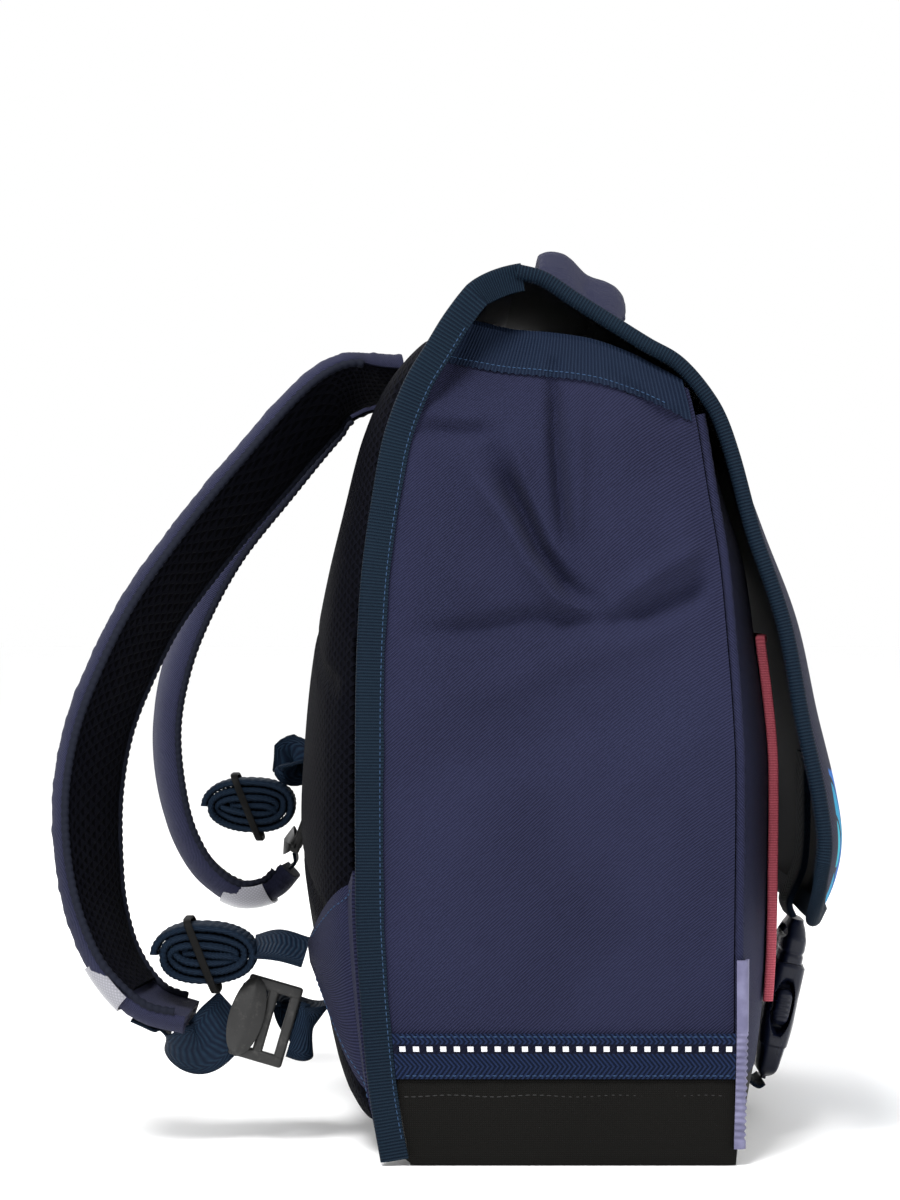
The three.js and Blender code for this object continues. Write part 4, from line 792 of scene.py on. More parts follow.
def makeFrontPanel():
    def placeAt(u, v):
        x = mix(-walls["frontHalf"], walls["frontHalf"], u)
        z = mix(bag["baseBand"] + 0.3, bag["height"] * 0.832, v)
        sag = 0.8 * math.sin(0.06 * x + 0.03 * z) * math.sin(math.pi * u) * math.sin(math.pi * v)
        return Vector((x, frontFace(x, z) + sag, z))

    piece = layGrid("front_panel_cloth", 70, 70, placeAt, (291, 279))
    turnOutwards(piece, lambda place: Vector((0, -1, 0)))
    applyModifier(piece, "SOLIDIFY", thickness=walls["panel"] * mm, offset=-1)
    return wearPiece(piece, navyTwill, ["front_panel"])


def cadCopy(node, name):
    # a CAD solid's own mesh as a new piece, welded and with its quads put back
    nothingSelected()
    piece = nodes[node].copy()
    piece.data = nodes[node].data.copy()
    piece.name = name
    piece.data.name = name
    for key in list(piece.keys()):
        del piece[key]
    scene.collection.objects.link(piece)
    piece.parent = None
    piece.hide_render = piece.hide_viewport = False
    piece.data.materials.clear()
    shape = bmesh.new()
    shape.from_mesh(piece.data)
    bmesh.ops.remove_doubles(shape, verts=shape.verts, dist=0.00002)
    bmesh.ops.join_triangles(shape, faces=shape.faces, angle_face_threshold=0.7, angle_shape_threshold=3.0)
    shape.to_mesh(piece.data)
    shape.free()
    return piece


def makeBase():
    piece = cadCopy("base_panel", "base_cloth")
    applyModifier(piece, "BEVEL", width=1.2 * mm, segments=2, angle_limit=math.radians(40))
    applyModifier(piece, "SUBSURF", levels=2, render_levels=2, subdivision_type="SIMPLE")
    for vertex in piece.data.vertices:  # the canvas rumples a little between its seams, never at the floor
        z = vertex.co.z / mm
        rumple = 0.5 * math.sin(vertex.co.y * 70 + 1) * math.sin(vertex.co.x * 55)
        rumple *= smoothStep(4, 16, z)
        rumple *= 1 - smoothStep(28, 35, z)
        if abs(vertex.co.x) > 0.147:
            vertex.co.x += math.copysign(rumple * mm, vertex.co.x)
        elif z > 4:
            vertex.co.y += math.copysign(rumple * mm, vertex.co.y)
    return wearPiece(piece, baseCanvas, ["base_panel"], 35)


makeBackPanel()
makeFrontPanel()
makeBase()
print("body walls done")

# herringbone tape along the sides, and the corner guards

tape = {"low": 36.3, "height": 19, "thickness": 1.2, "gap": 0.3}
guard = {
    "low": 6.9, "high": 86, "ribLow": 9, "ribHigh": 55, "ribPitch": 2.8, "ribDepth": 0.8,
    "wall": 1.6, "side": 1.2, "front": 6,
}


def makeSideTape(side, word):
    def placeAt(u, v):
        z = tape["low"] + v * tape["height"]
        y = mix(frontSeam(z) + guard["side"] + 0.3, backSeam(z) - 6.3, u)
        swell = 0.25 * math.sin(math.pi * v) ** 0.5 + 0.15 * math.sin(y * 0.35)
        return Vector((side * (halfWidth + tape["gap"] + tape["thickness"] + swell), y, z))

    piece = layGrid("herringbone_tape_" + word, 90, 12, placeAt, (141, 19))
    turnOutwards(piece, lambda place: Vector((side, 0, 0)))
    applyModifier(piece, "SOLIDIFY", thickness=tape["thickness"] * mm, offset=-1)
    return wearPiece(piece, dashedTape, ["side_tape_" + word])


def makeCornerGuard(side, word):
    def placeAt(u, v):
        z = mix(guard["low"], guard["high"], v)
        seam = frontSeam(z)
        corner = seam - bag["pipingRadius"] - 0.3 - guard["wall"]
        ribbed = smoothStep(guard["ribLow"], guard["ribLow"] + 1, z)
        ribbed *= 1 - smoothStep(guard["ribHigh"], guard["ribHigh"] + 1, z)
        rib = guard["ribDepth"] * (0.5 + 0.5 * math.cos(2 * math.pi * z / guard["ribPitch"])) * ribbed
        outX = halfWidth + 0.3 + guard["wall"]
        bend = 3.2
        sideRun, frontRun = guard["side"] + (seam - corner) - bend, guard["front"] - bend
        arc = math.pi / 2 * bend
        reach = u * (sideRun + arc + frontRun)
        if reach < sideRun:
            return Vector((side * (outX - rib), seam + guard["side"] - reach, z))
        if reach < sideRun + arc:
            angle = (reach - sideRun) / bend
            inset = bend - rib
            x = outX - bend + inset * math.cos(angle)
            return Vector((side * x, corner + bend - inset * math.sin(angle), z))
        x = outX - bend - (reach - sideRun - arc)
        y = min(frontFace(x, z) - 0.8 - guard["wall"], corner)
        return Vector((side * x, y + rib, z))

    piece = layGrid("guard_strip_" + word, 34, 232, placeAt, (28, 79))
    turnOutwards(piece, lambda place: Vector((side, -1, 0)))
    applyModifier(piece, "SOLIDIFY", thickness=1.3 * mm, offset=-1)
    return wearPiece(piece, guardRubber, ["corner_guard_" + word], 60)


for side, word in ((-1, "left"), (1, "right")):
    makeSideTape(side, word)
    makeCornerGuard(side, word)
print("tapes and guards done")

# flap with its tape

flap = {"half": 152, "crown": 12, "curl": 5, "round": 26, "wall": 2.4, "tape": 10, "columns": 96, "rows": 130}
flapLine = smoothLine([(0, b * bag["depth"], r * bag["height"]) for b, r, c in flapRows])
crownRows = [(i / (len(flapRows) - 1), row[2]) for i, row in enumerate(flapRows)]


def flapPoint(u, at, out):
    place, run = onLine(flapLine, at)
    outward = Vector((0, run.z, -run.y))
    crown = flap["crown"] * readRows(crownRows, 1, at)
    curl = flap["curl"] * abs(u) ** 12 * smoothStep(0.3, 0.5, at)
    buckled = 0.9 * math.sin(9 * at + 2.2 * u) * math.sin(2.6 * math.pi * u)
    buckled *= smoothStep(0.15, 0.35, at)
    buckled *= 1 - abs(u) ** 6
    rise = crown * (1 - u * u) - curl + out + buckled
    return Vector((u * flap["half"], place.y, place.z)) + outward * rise


def flapRound(u):
    reach = max(flap["round"] - (1 - abs(u)) * flap["half"], 0)
    rise = flap["round"] - math.sqrt(max(flap["round"] ** 2 - reach**2, 0))
    return 1 - rise / flapLine["length"]


def makeFlap():
    def across(u):  # closer columns towards the rounded corners
        s = 2 * u - 1
        return math.copysign(1 - (1 - abs(s)) ** 1.25, s)

    def placeAt(u, v):
        return flapPoint(across(u), v * flapRound(across(u)), flap["wall"] / 2)

    piece = layGrid("flap_cloth", flap["columns"], flap["rows"], placeAt, (304, flapLine["length"]))
    turnOutwards(piece, lambda place: Vector((0, -1, 0.6)))
    piece.data.materials.append(flapPrint)
    piece.data.materials.append(liningCloth)
    applyModifier(piece, "SOLIDIFY", thickness=flap["wall"] * mm, offset=-1, material_offset=1)
    return wearPiece(piece, None, ["flap"])


def makeFlapTape():
    path = []
    for i in range(150):
        path.append((-1.0, flapRound(1) * i / 150))
    for i in range(181):
        s = 2 * i / 180 - 1
        u = math.copysign(1 - (1 - abs(s)) ** 2, s)
        path.append((u, flapRound(u)))
    for i in range(149, -1, -1):
        path.append((1.0, flapRound(1) * i / 150))
    places = [flapPoint(u, at, 0) for u, at in path]
    frames = []
    for i, (u, at) in enumerate(path):
        run = (places[min(i + 1, len(places) - 1)] - places[max(i - 1, 0)]).normalized()
        outward = (flapPoint(u, at, 1) - flapPoint(u, at, -1)).normalized()
        side = (outward - run * outward.dot(run)).normalized()
        up = run.cross(side).normalized()
        centre = places[len(places) // 2].lerp(places[0], 0.5)
        if up.dot(places[i] - Vector((0, centre.y, centre.z))) < 0:
            up.negate()
        frames.append((places[i] - up * (flap["tape"] / 2 - 2.6), side, up))
    section = foldedTape(flap["tape"], flap["wall"] + 1.0, 1.3)
    piece = sweepSection("flap_edge_tape", frames, section, 36, lengthOf(frames), 48)
    return wearPiece(piece, bindingTape, ["flap_binding"])


makeFlap()
makeFlapTape()
print("flap done")

# back padding

padding = {
    "width": 276, "low": 0.022, "high": 0.94, "thickness": 13, "rim": 0.2,
    "shrink": 1.0, "voxel": 5, "cap": 3.0,
}
quilting = {"seamUp": 4.6, "seamWidth": 2.4, "seamDepth": 1.5, "channelWidth": 7.0, "channelDepth": 5.0}
padLow, padHigh = padding["low"] * bag["height"], padding["high"] * bag["height"]


def padFace(x, z, thickness=padding["thickness"]):
    u = min(abs(x) / (padding["width"] / 2), 1)
    v = min(max((z - padLow) / (padHigh - padLow), 0), 1)
    across = math.sqrt(max(1 - u**8, 0))
    up = math.sqrt(max(1 - abs(2 * v - 1) ** 16, 0))
    return backFace(x, z) + bag["curveGap"] + thickness * max(across * up, padding["rim"])


def puffUp(piece, voxel, cap, pressure=4.0):
    # cloth simulation blows the cover up a little, so that it sits in soft waves
    applyModifier(piece, "REMESH", mode="VOXEL", voxel_size=voxel * mm)
    still = [vertex.co.copy() for vertex in piece.data.vertices]
    cloth = piece.modifiers.new("Cloth", "CLOTH")
    cloth.settings.use_pressure = True
    cloth.settings.uniform_pressure_force = pressure
    cloth.settings.effector_weights.gravity = 0
    for step in range(1, 21):
        scene.frame_set(step)
    puffed = piece.evaluated_get(bpy.context.evaluated_depsgraph_get())
    moved = [vertex.co.copy() for vertex in puffed.data.vertices]
    piece.modifiers.remove(cloth)
    scene.frame_set(1)
    for vertex, a, b in zip(piece.data.vertices, still, moved):
        move = b - a
        vertex.co = a + move * min(1, cap * mm / max(move.length, 1e-9))
    applyModifier(piece, "SUBSURF", levels=1, render_levels=1)


def makeBackPadding():
    half = padding["width"] / 2 - 1.0
    thin = padding["thickness"] - padding["shrink"]

    def placeAt(u, v):
        x = half * math.sin(math.pi / 2 * (2 * u - 1))
        z = mix(padLow + 1, padHigh - 1, 0.5 - 0.5 * math.cos(math.pi * mix(0.03, 0.97, v)))
        return Vector((x, padFace(x, z, thin), z))

    piece = layGrid("back_padding_cover", 60, 76, placeAt, (290, 350))
    shape = bmesh.new()
    shape.from_mesh(piece.data)
    outer = list(shape.faces)
    made = bmesh.ops.extrude_face_region(shape, geom=outer)
    for vertex in [g for g in made["geom"] if isinstance(g, bmesh.types.BMVert)]:
        place = vertex.co / mm
        vertex.co.y = (backFace(place.x, place.z) + bag["curveGap"] + 0.2) * mm
    bmesh.ops.recalc_face_normals(shape, faces=shape.faces)
    shape.to_mesh(piece.data)
    shape.free()
    puffUp(piece, padding["voxel"], padding["cap"])
    for vertex in piece.data.vertices:
        x, y, z = vertex.co / mm
        wall = backFace(x, z) + bag["curveGap"]
        if y < wall + 0.05:
            vertex.co.y = (wall + 0.05) * mm
            continue
        up = y - wall
        edge = min(padding["width"] / 2 - abs(x), z - padLow, padHigh - z)
        if edge < 9:  # the sewn line between the side strip and the back
            pull = quilting["seamDepth"] * math.exp(-(((up - quilting["seamUp"]) / quilting["seamWidth"]) ** 2))
            vertex.co.x -= math.copysign(pull * mm, x) * smoothStep(6, 3, padding["width"] / 2 - abs(x))
        if up > 4:  # open channels between the raised pads
            spine = quilting["channelDepth"] * math.exp(-((x / quilting["channelWidth"]) ** 4))
            spine *= smoothStep(20, 45, z)
            spine *= 1 - smoothStep(310, 335, z)
            slope = abs(x) * 0.25
            rungs = sum(math.exp(-(((z - level + slope) / 5) ** 4)) for level in (130, 232))
            rungs *= 0.7 * quilting["channelDepth"] * smoothStep(8, 24, padding["width"] / 2 - abs(x))
            vertex.co.y -= max(spine, rungs) * mm
    wearPiece(piece, padMesh, ["back_padding"], 60)


makeBackPadding()
print("back padding done")

# shoulder straps

strap = {
    "width": 60, "thickness": 12, "spread": 104, "reach": 138, "seam": 3.4, "mesh": 0.95,
    "perSpan": 22, "columns": 56,
}
strapRowsLeft = [  # out, back, rise, roll
    (0.54, 0.0, 0.89, 12),
    (0.56, 0.13, 0.886, 16), (0.6, 0.23, 0.868, 20), (0.68, 0.48, 0.768, 20), (0.76, 0.66, 0.686, 19),
    (0.84, 0.79, 0.617, 18), (0.89, 0.88, 0.552, 18), (0.92, 0.955, 0.48, 18), (0.94, 0.99, 0.405, 18),
    (0.95, 0.985, 0.325, 16), (0.96, 0.955, 0.262, 12), (0.97, 0.89, 0.205, 8),
    (0.99, 0.78, 0.163, 5), (1.0, 0.65, 0.149, 3),
]
strapRowsRight = [
    (0.54, 0.0, 0.89, 10),
    (0.56, 0.13, 0.886, 12), (0.6, 0.22, 0.868, 12), (0.68, 0.46, 0.765, 10), (0.76, 0.62, 0.69, 9),
    (0.82, 0.73, 0.618, 8), (0.86, 0.81, 0.545, 8), (0.89, 0.852, 0.465, 8), (0.9, 0.838, 0.385, 8),
    (0.91, 0.79, 0.32, 7), (0.92, 0.7, 0.268, 6), (0.92, 0.585, 0.243, 5),
    (0.92, 0.475, 0.25, 4), (0.92, 0.41, 0.275, 3),
]


def strapFrames(side, rows):
    seat = bag["depth"] * backRows[0][1]
    places = []
    for out, back, rise, roll in rows:
        places.append((side * out * strap["spread"], seat + back * strap["reach"], rise * bag["height"]))
    line = smoothLine(places, strap["perSpan"])
    rolls = [(i / (len(rows) - 1), row[3]) for i, row in enumerate(rows)]
    points = line["points"]
    frames = []
    for i, place in enumerate(points):
        run = (points[min(i + 1, len(points) - 1)] - points[max(i - 1, 0)]).normalized()
        across = (Vector((1, 0, 0)) - run * run.x).normalized()
        turn = Matrix.Rotation(-side * math.radians(readRows(rolls, 1, i / (len(points) - 1))), 3, run)
        across = turn @ across
        frames.append((place, across, -run.cross(across)))
    return frames


def strapWidthAt(t):
    return strap["width"] * (1 - 0.3 * smoothStep(0.8, 1, t)) * (1 - 0.1 * (1 - smoothStep(0, 0.12, t)))


def pucker(v, length, seed):
    # short pleats that the sewn edge draws up, in millimetres along the strap
    along = v * length
    pleats = 0.5 * math.sin(along * 0.9 + seed) * math.sin(along * 0.23 + 2 * seed)
    return pleats + 0.35 * math.sin(along * 0.41 + 3 * seed)


def strapShell(side, high, low, widen, length, seed, start=0.0, end=1.0):
    # a closed section: a crowned face at one height and a flat one at the seam
    def sectionAt(u, v):
        t = mix(start, end, v)
        width = strapWidthAt(t) * widen
        if u < 0.55:
            s = math.sin(math.pi / 2 * (1 - 2 * u / 0.55))
            crown = max(1 - s**4, 0) ** 0.5
            gather = pucker(v, length, seed + s) * smoothStep(0.55, 0.95, abs(s)) * crown
            ease = 0.35 * math.sin(v * length * 0.07 + seed) * crown
            return (s * width / 2, low + (high - low) * crown + math.copysign(gather + ease, high))
        s = -1 + 2 * (u - 0.55) / 0.45
        return (s * width / 2, low)

    return sectionAt


def ropeAlong(name, path, radius, bead, material, sides=8):
    # a thick overlocked edge: beads that lean along the run
    line = smoothLine(path, 1)
    steps = int(line["length"] / bead * 5)
    frames = []
    for i in range(steps + 1):
        place, run = onLine(line, i / steps)
        side = run.cross(Vector((0.3, 1, 0.2))).normalized()
        frames.append((place, side, run.cross(side).normalized()))

    def section(u, v):
        angle = 2 * math.pi * u
        beads = 0.74 + 0.26 * abs(math.sin(math.pi * v * line["length"] / bead + 0.5 * math.sin(angle)))
        return (radius * beads * math.cos(angle), radius * beads * math.sin(angle))

    piece = sweepSection(name, frames, section, sides, line["length"], 2 * math.pi * radius)
    return wearPiece(piece, material, [], 80)


def makeStrap(side, word, rows):
    frames = strapFrames(side, rows)
    length = lengthOf(frames)
    half = strap["thickness"] / 2
    last = len(frames) - 1

    outerShell = strapShell(side, half, -strap["seam"], 1.0, length, side + 2)
    cloth = sweepSection("strap_cloth_" + word, frames, outerShell, strap["columns"], length, 126)
    liningFrames = frames[: int(last * 0.9)]
    meshShell = strapShell(side, -half, -strap["seam"] - 0.3, strap["mesh"], length, side + 5, 0, 0.9)
    lining = sweepSection(
        "strap_lining_" + word, liningFrames, meshShell, strap["columns"], length * 0.9, 122,
    )
    for piece in (cloth, lining):
        for vertex in piece.data.vertices:
            place = vertex.co / mm
            face = padFace(place.x, place.z) + 0.5
            if place.y < face and place.z > 250:
                vertex.co.y = face * mm
    wearPiece(cloth, strapTwill, ["shoulder_strap_" + word], 60)
    wearPiece(lining, airMesh, ["strap_mesh_" + word], 60)
    for edge, hand in ((-1, "in"), (1, "out")):
        path = []
        for i in range(26, last - 4, 2):
            place, across, up = frames[i]
            width = strapWidthAt(i / last)
            path.append(place + across * edge * (width / 2 - 1.0) - up * (strap["seam"] + 1.0))
        ropeAlong("strap_edge_%s_%s" % (word, hand), path, 1.9, 3.4, edgeCord)
    makeReflectiveBand(word, frames)
    return frames


reflective = {"place": 0.862, "length": 22, "lift": 0.9, "wall": 0.8}


def makeReflectiveBand(word, frames):
    last = len(frames) - 1
    middle = round(reflective["place"] * last)
    near = [f for f in frames if (f[0] - frames[middle][0]).length <= reflective["length"] / 2]
    width = strapWidthAt(reflective["place"])
    half = strap["thickness"] / 2

    def sectionAt(u, v):
        outer = u < 0.5
        s = math.sin(math.pi / 2 * (1 - 4 * u)) if outer else math.sin(math.pi / 2 * (4 * u - 3))
        crown = max(1 - s**4, 0) ** 0.5
        lift = reflective["lift"] + (reflective["wall"] if outer else 0)
        grow = 1 + (0.024 if outer else 0.006)
        domed = (half + strap["seam"]) * crown
        return (s * width / 2 * grow, -strap["seam"] + domed + lift * (0.3 + 0.7 * crown))

    piece = sweepSection("reflective_tape_" + word, near, sectionAt, 60, reflective["length"], 130)
    wearPiece(piece, reflectiveTape, ["reflective_band_" + word], 50)


framesLeft = makeStrap(-1, "left", strapRowsLeft)
framesRight = makeStrap(1, "right", strapRowsRight)
print("shoulder straps done")

# carry handle and its tabs

handle = {
    "length": 128, "width": 50, "thickness": 13, "fingerGap": 17, "seat": 0.088, "waist": 0.6,
    "lean": 7, "columns": 60, "rows": 84,
}
handleTab = {"length": 20, "thickness": 1.8}


def makeHandle():
    rise = flap["wall"] / 2 + bag["gap"]
    frames = []
    for i in range(handle["rows"] + 1):
        t = i / handle["rows"]
        thick = handle["thickness"] * mix(0.45, 1, min(4 * t, 4 * (1 - t), 1))
        u = mix(-0.5, 0.5, t) * handle["length"] / flap["half"]
        lift = rise + thick / 2 + handle["fingerGap"] * math.sin(math.pi * t) ** 0.8
        place = flapPoint(u, handle["seat"], lift)
        up = (flapPoint(u, handle["seat"], lift + 1) - place).normalized()
        place.y += handle["lean"] * math.sin(math.pi * t)
        frames.append((place, Vector((0, up.z, -up.y)), up))

    def sectionAt(u, v):
        thick = handle["thickness"] * mix(0.45, 1, min(4 * v, 4 * (1 - v), 1))
        angle = 2 * math.pi * u
        s = math.copysign(abs(math.cos(angle)) ** 0.8, math.cos(angle))
        lobes = handle["waist"] + (1 - handle["waist"]) * math.sin(math.pi * s) ** 2
        half = thick / 2 * lobes * math.sqrt(max(1 - s**6, 0))
        pleat = 0.35 * math.sin(v * 75 + 3 * s) * math.sin(v * 31 + s) * smoothStep(0.3, 0.9, abs(s))
        seam = 0.8 * math.exp(-((s / 0.05) ** 2))
        y = math.copysign(max(half + pleat - seam, 0.1), math.sin(angle)) if half > 0.05 else 0
        return (s * handle["width"] / 2, y)

    piece = sweepSection("handle_cover", frames, sectionAt, handle["columns"], 145, 100)
    puffUp(piece, 3, 0.8, 3.0)
    wearPiece(piece, handleCloth, ["handle"], 60)


def makeHandleTab(side, word):
    near = handle["length"] / 2 + bag["gap"]
    along = handle["width"] / flapLine["length"] / 2

    def placeAt(u, v):
        x = side * mix(near, near + handleTab["length"], u)
        at = handle["seat"] + mix(-along, along, v)
        return flapPoint(x / flap["half"], at, flap["wall"] / 2 + bag["gap"] + handleTab["thickness"])

    piece = layGrid("handle_tab_cloth_" + word, 24, 40, placeAt, (20, 44))
    turnOutwards(piece, lambda place: Vector((0, -0.3, 1)))
    applyModifier(piece, "SOLIDIFY", thickness=handleTab["thickness"] * mm, offset=-1)
    wearPiece(piece, smoothNavy, ["handle_tab_" + word])
    corners = ((0.12, 0.07), (0.88, 0.07), (0.88, 0.93), (0.12, 0.93), (0.12, 0.07), (0.88, 0.93))
    box = [placeAt(u, v) + Vector((0, 0, 0.25)) for u, v in corners]
    sewAlong("handle_tab_stitch_" + word, straightLine(box), "handleTab", blueThread)


def straightLine(points):
    points = [Vector(p) for p in points]
    lengths = [0.0]
    for a, b in zip(points, points[1:]):
        lengths.append(lengths[-1] + (b - a).length)
    return {"points": points, "lengths": np.array(lengths), "length": lengths[-1]}


stitches = {  # pitch, length and radius of one stitch
    "handleTab": (3.0, 2.1, 0.32), "anchorTab": (2.9, 2.1, 0.3), "base": (3.0, 2.2, 0.3),
    "edge": (2.6, 1.9, 0.26), "tape": (2.8, 2.0, 0.26), "ribbon": (2.4, 1.8, 0.24),
}


def sewAlong(name, line, kind, material):
    # one stitch is modelled, and its copies are laid end to end along the line
    pitch, length, radius = stitches[kind]
    nothingSelected()
    bpy.ops.mesh.primitive_uv_sphere_add(segments=6, ring_count=5, radius=1)
    piece = bpy.context.object
    piece.name = name
    piece.data.name = name
    stitch = bmesh.new()
    stitch.from_mesh(piece.data)
    whole = bmesh.new()
    for k in range(max(int(line["length"] / pitch), 1)):
        place, run = onLine(line, (k + 0.5) * pitch / line["length"])
        turn = run.to_track_quat("Z", "Y").to_matrix().to_4x4()
        size = Matrix.Diagonal((radius, radius, length / 2, 1))
        one = stitch.copy()
        one.transform(Matrix.Scale(mm, 4) @ Matrix.Translation(place) @ turn @ size)
        held = bpy.data.meshes.new("stitch")
        one.to_mesh(held)
        whole.from_mesh(held)
        bpy.data.meshes.remove(held)
        one.free()
    whole.to_mesh(piece.data)
    whole.free()
    stitch.free()
    return wearPiece(piece, material, [], 60)


makeHandle()
for side, word in ((-1, "left"), (1, "right")):
    makeHandleTab(side, word)
print("handle done")

# front pocket with its red edge

pocket = {"width": 224, "top": 222, "bottom": 64, "thickness": 2.6, "trim": 4.2}


def makePocket():
    half = pocket["width"] / 2 - pocket["trim"]

    def placeAt(u, v):
        x = mix(-half, half, u)
        z = mix(pocket["bottom"], pocket["top"] - pocket["trim"], v)
        slack = 0.9 * math.sin(math.pi * u) * math.sin(math.pi * v) * math.sin(0.05 * x + 0.04 * z)
        return Vector((x, frontFace(x, z) - bag["curveGap"] - pocket["thickness"] + slack, z))

    piece = layGrid("front_pocket_cloth", 60, 44, placeAt, (216, 154))
    turnOutwards(piece, lambda place: Vector((0, -1, 0)))
    applyModifier(piece, "SOLIDIFY", thickness=(pocket["thickness"] - 0.4) * mm, offset=-1)
    wearPiece(piece, navyTwill, ["front_pocket"])


def makePocketTrim():
    half = (pocket["width"] - pocket["trim"]) / 2 + bag["gap"]
    top = pocket["top"] - pocket["trim"] / 2 + bag["gap"]
    thick = pocket["thickness"] + 1.8
    outline = [(-half, mix(pocket["bottom"], top, i / 60)) for i in range(60)]
    outline += [(mix(-half, half, i / 80), top) for i in range(81)]
    outline += [(half, mix(top, pocket["bottom"], i / 60)) for i in range(1, 61)]
    frames = []
    for i, (x, z) in enumerate(outline):
        place = Vector((x, frontFace(x, z) - bag["curveGap"] - thick / 2, z))
        (xa, za), (xb, zb) = outline[max(i - 1, 0)], outline[min(i + 1, len(outline) - 1)]
        run = Vector((xb - xa, 0, zb - za)).normalized()
        frames.append((place, Vector((0, -1, 0)), Vector((0, -1, 0)).cross(run)))

    def sectionAt(u, v):
        angle = 2 * math.pi * u
        c, s = math.cos(angle), math.sin(angle)
        sway = 0.15 * math.sin(v * 170)
        x = math.copysign(abs(c) ** 0.6, c) * thick / 2
        return (x, math.copysign(abs(s) ** 0.6, s) * (pocket["trim"] / 2 - 0.15) + sway)

    piece = sweepSection("pocket_red_tape", frames, sectionAt, 20, lengthOf(frames), 14)
    wearPiece(piece, redTape, ["front_pocket_trim"])


makePocket()
makePocketTrim()
print("front pocket done")

# webbing

webbing = {"width": 25, "thickness": 1.8, "closure": 38, "perSpan": 16, "columns": 40, "runOut": 1.5}


def webbingPiece(name, rows, stands, width=webbing["width"], thickness=webbing["thickness"]):
    # rows of place and direction of the width
    line = smoothLine([place for place, across in rows], webbing["perSpan"])
    points = line["points"]
    last = len(points) - 1
    tables = []
    for axis in range(3):
        tables.append([(i / (len(rows) - 1), across[axis]) for i, (place, across) in enumerate(rows)])
    frames = []
    for i, place in enumerate(points):
        if i == 0:
            run = (rows[1][0] - rows[0][0]).normalized()
        elif i == last:
            run = (rows[-1][0] - rows[-2][0]).normalized()
        else:
            run = (points[i + 1] - points[i - 1]).normalized()
        across = Vector([readRows(table, 1, i / last) for table in tables])
        across = (across - run * across.dot(run)).normalized()
        frames.append((place, across, run.cross(across)))

    def sectionAt(u, v):
        # the woven edges are rounder and a little thicker than the middle
        angle = 2 * math.pi * u
        c, s = math.cos(angle), math.sin(angle)
        x = math.copysign(abs(c) ** 0.28, c)
        bead = 0.86 + 0.14 * smoothStep(0.86, 0.97, abs(x))
        ripple = 0.12 * math.sin(v * line["length"] * 0.5) * (1 - abs(x))
        return (x * width / 2, math.copysign(min(abs(s) ** 0.35, 1) * thickness / 2 * bead, s) + ripple)

    piece = sweepSection(name, frames, sectionAt, webbing["columns"], line["length"], 2 * (width + thickness))
    return wearPiece(piece, strapWebbing, [stands], 50)


tab = {
    "apexRise": 0.226, "apexInset": 44, "low": 0.045, "high": 0.325, "standOff": 5, "taper": 0.9,
    "seamInset": 1, "thickness": 2.4,
}


def tabPoint(side, u, v, out):
    rise = mix(mix(tab["low"], tab["high"], u), tab["apexRise"], v * tab["taper"])
    z = rise * bag["height"]
    x = halfWidth - 2 - 1.3 - mix(tab["seamInset"], tab["apexInset"], v)
    return Vector((side * x, padFace(x, z) + bag["curveGap"] + tab["standOff"] * v * v + out, z))


def makeAnchorTab(side, word):
    def placeAt(u, v):
        swell = 0.5 * math.sin(math.pi * u) * math.sin(math.pi * v)
        swell -= 0.5 * smoothStep(0.12, 0.0, min(u, 1 - u))
        return tabPoint(side, u, v, tab["thickness"] + swell)

    piece = layGrid("anchor_tab_cloth_" + word, 40, 36, placeAt, (90, 44))
    turnOutwards(piece, lambda place: Vector((0, 1, 0)))
    applyModifier(piece, "SOLIDIFY", thickness=(tab["thickness"] - 0.2) * mm, offset=-1)
    wearPiece(piece, navyTwill, ["anchor_tab_" + word])
    for share in (0.06, 0.94):
        edge = []
        for k in range(11):
            u = mix(share, 0.5, 0.1 * k / 10)
            edge.append(tabPoint(side, u, mix(0.06, 0.92, k / 10), tab["thickness"] + 0.05))
        name = "anchor_tab_stitch_%s_%s" % (word, "low" if share < 0.5 else "high")
        sewAlong(name, smoothLine(edge, 4), "anchorTab", blueThread)


roll = {"length": 48, "height": 30, "pitch": 3.75, "wall": 3.7, "turns": 3.7, "squareness": 0.86}
rubber = {"width": 4.2, "wall": 1.2, "slant": 0.4}


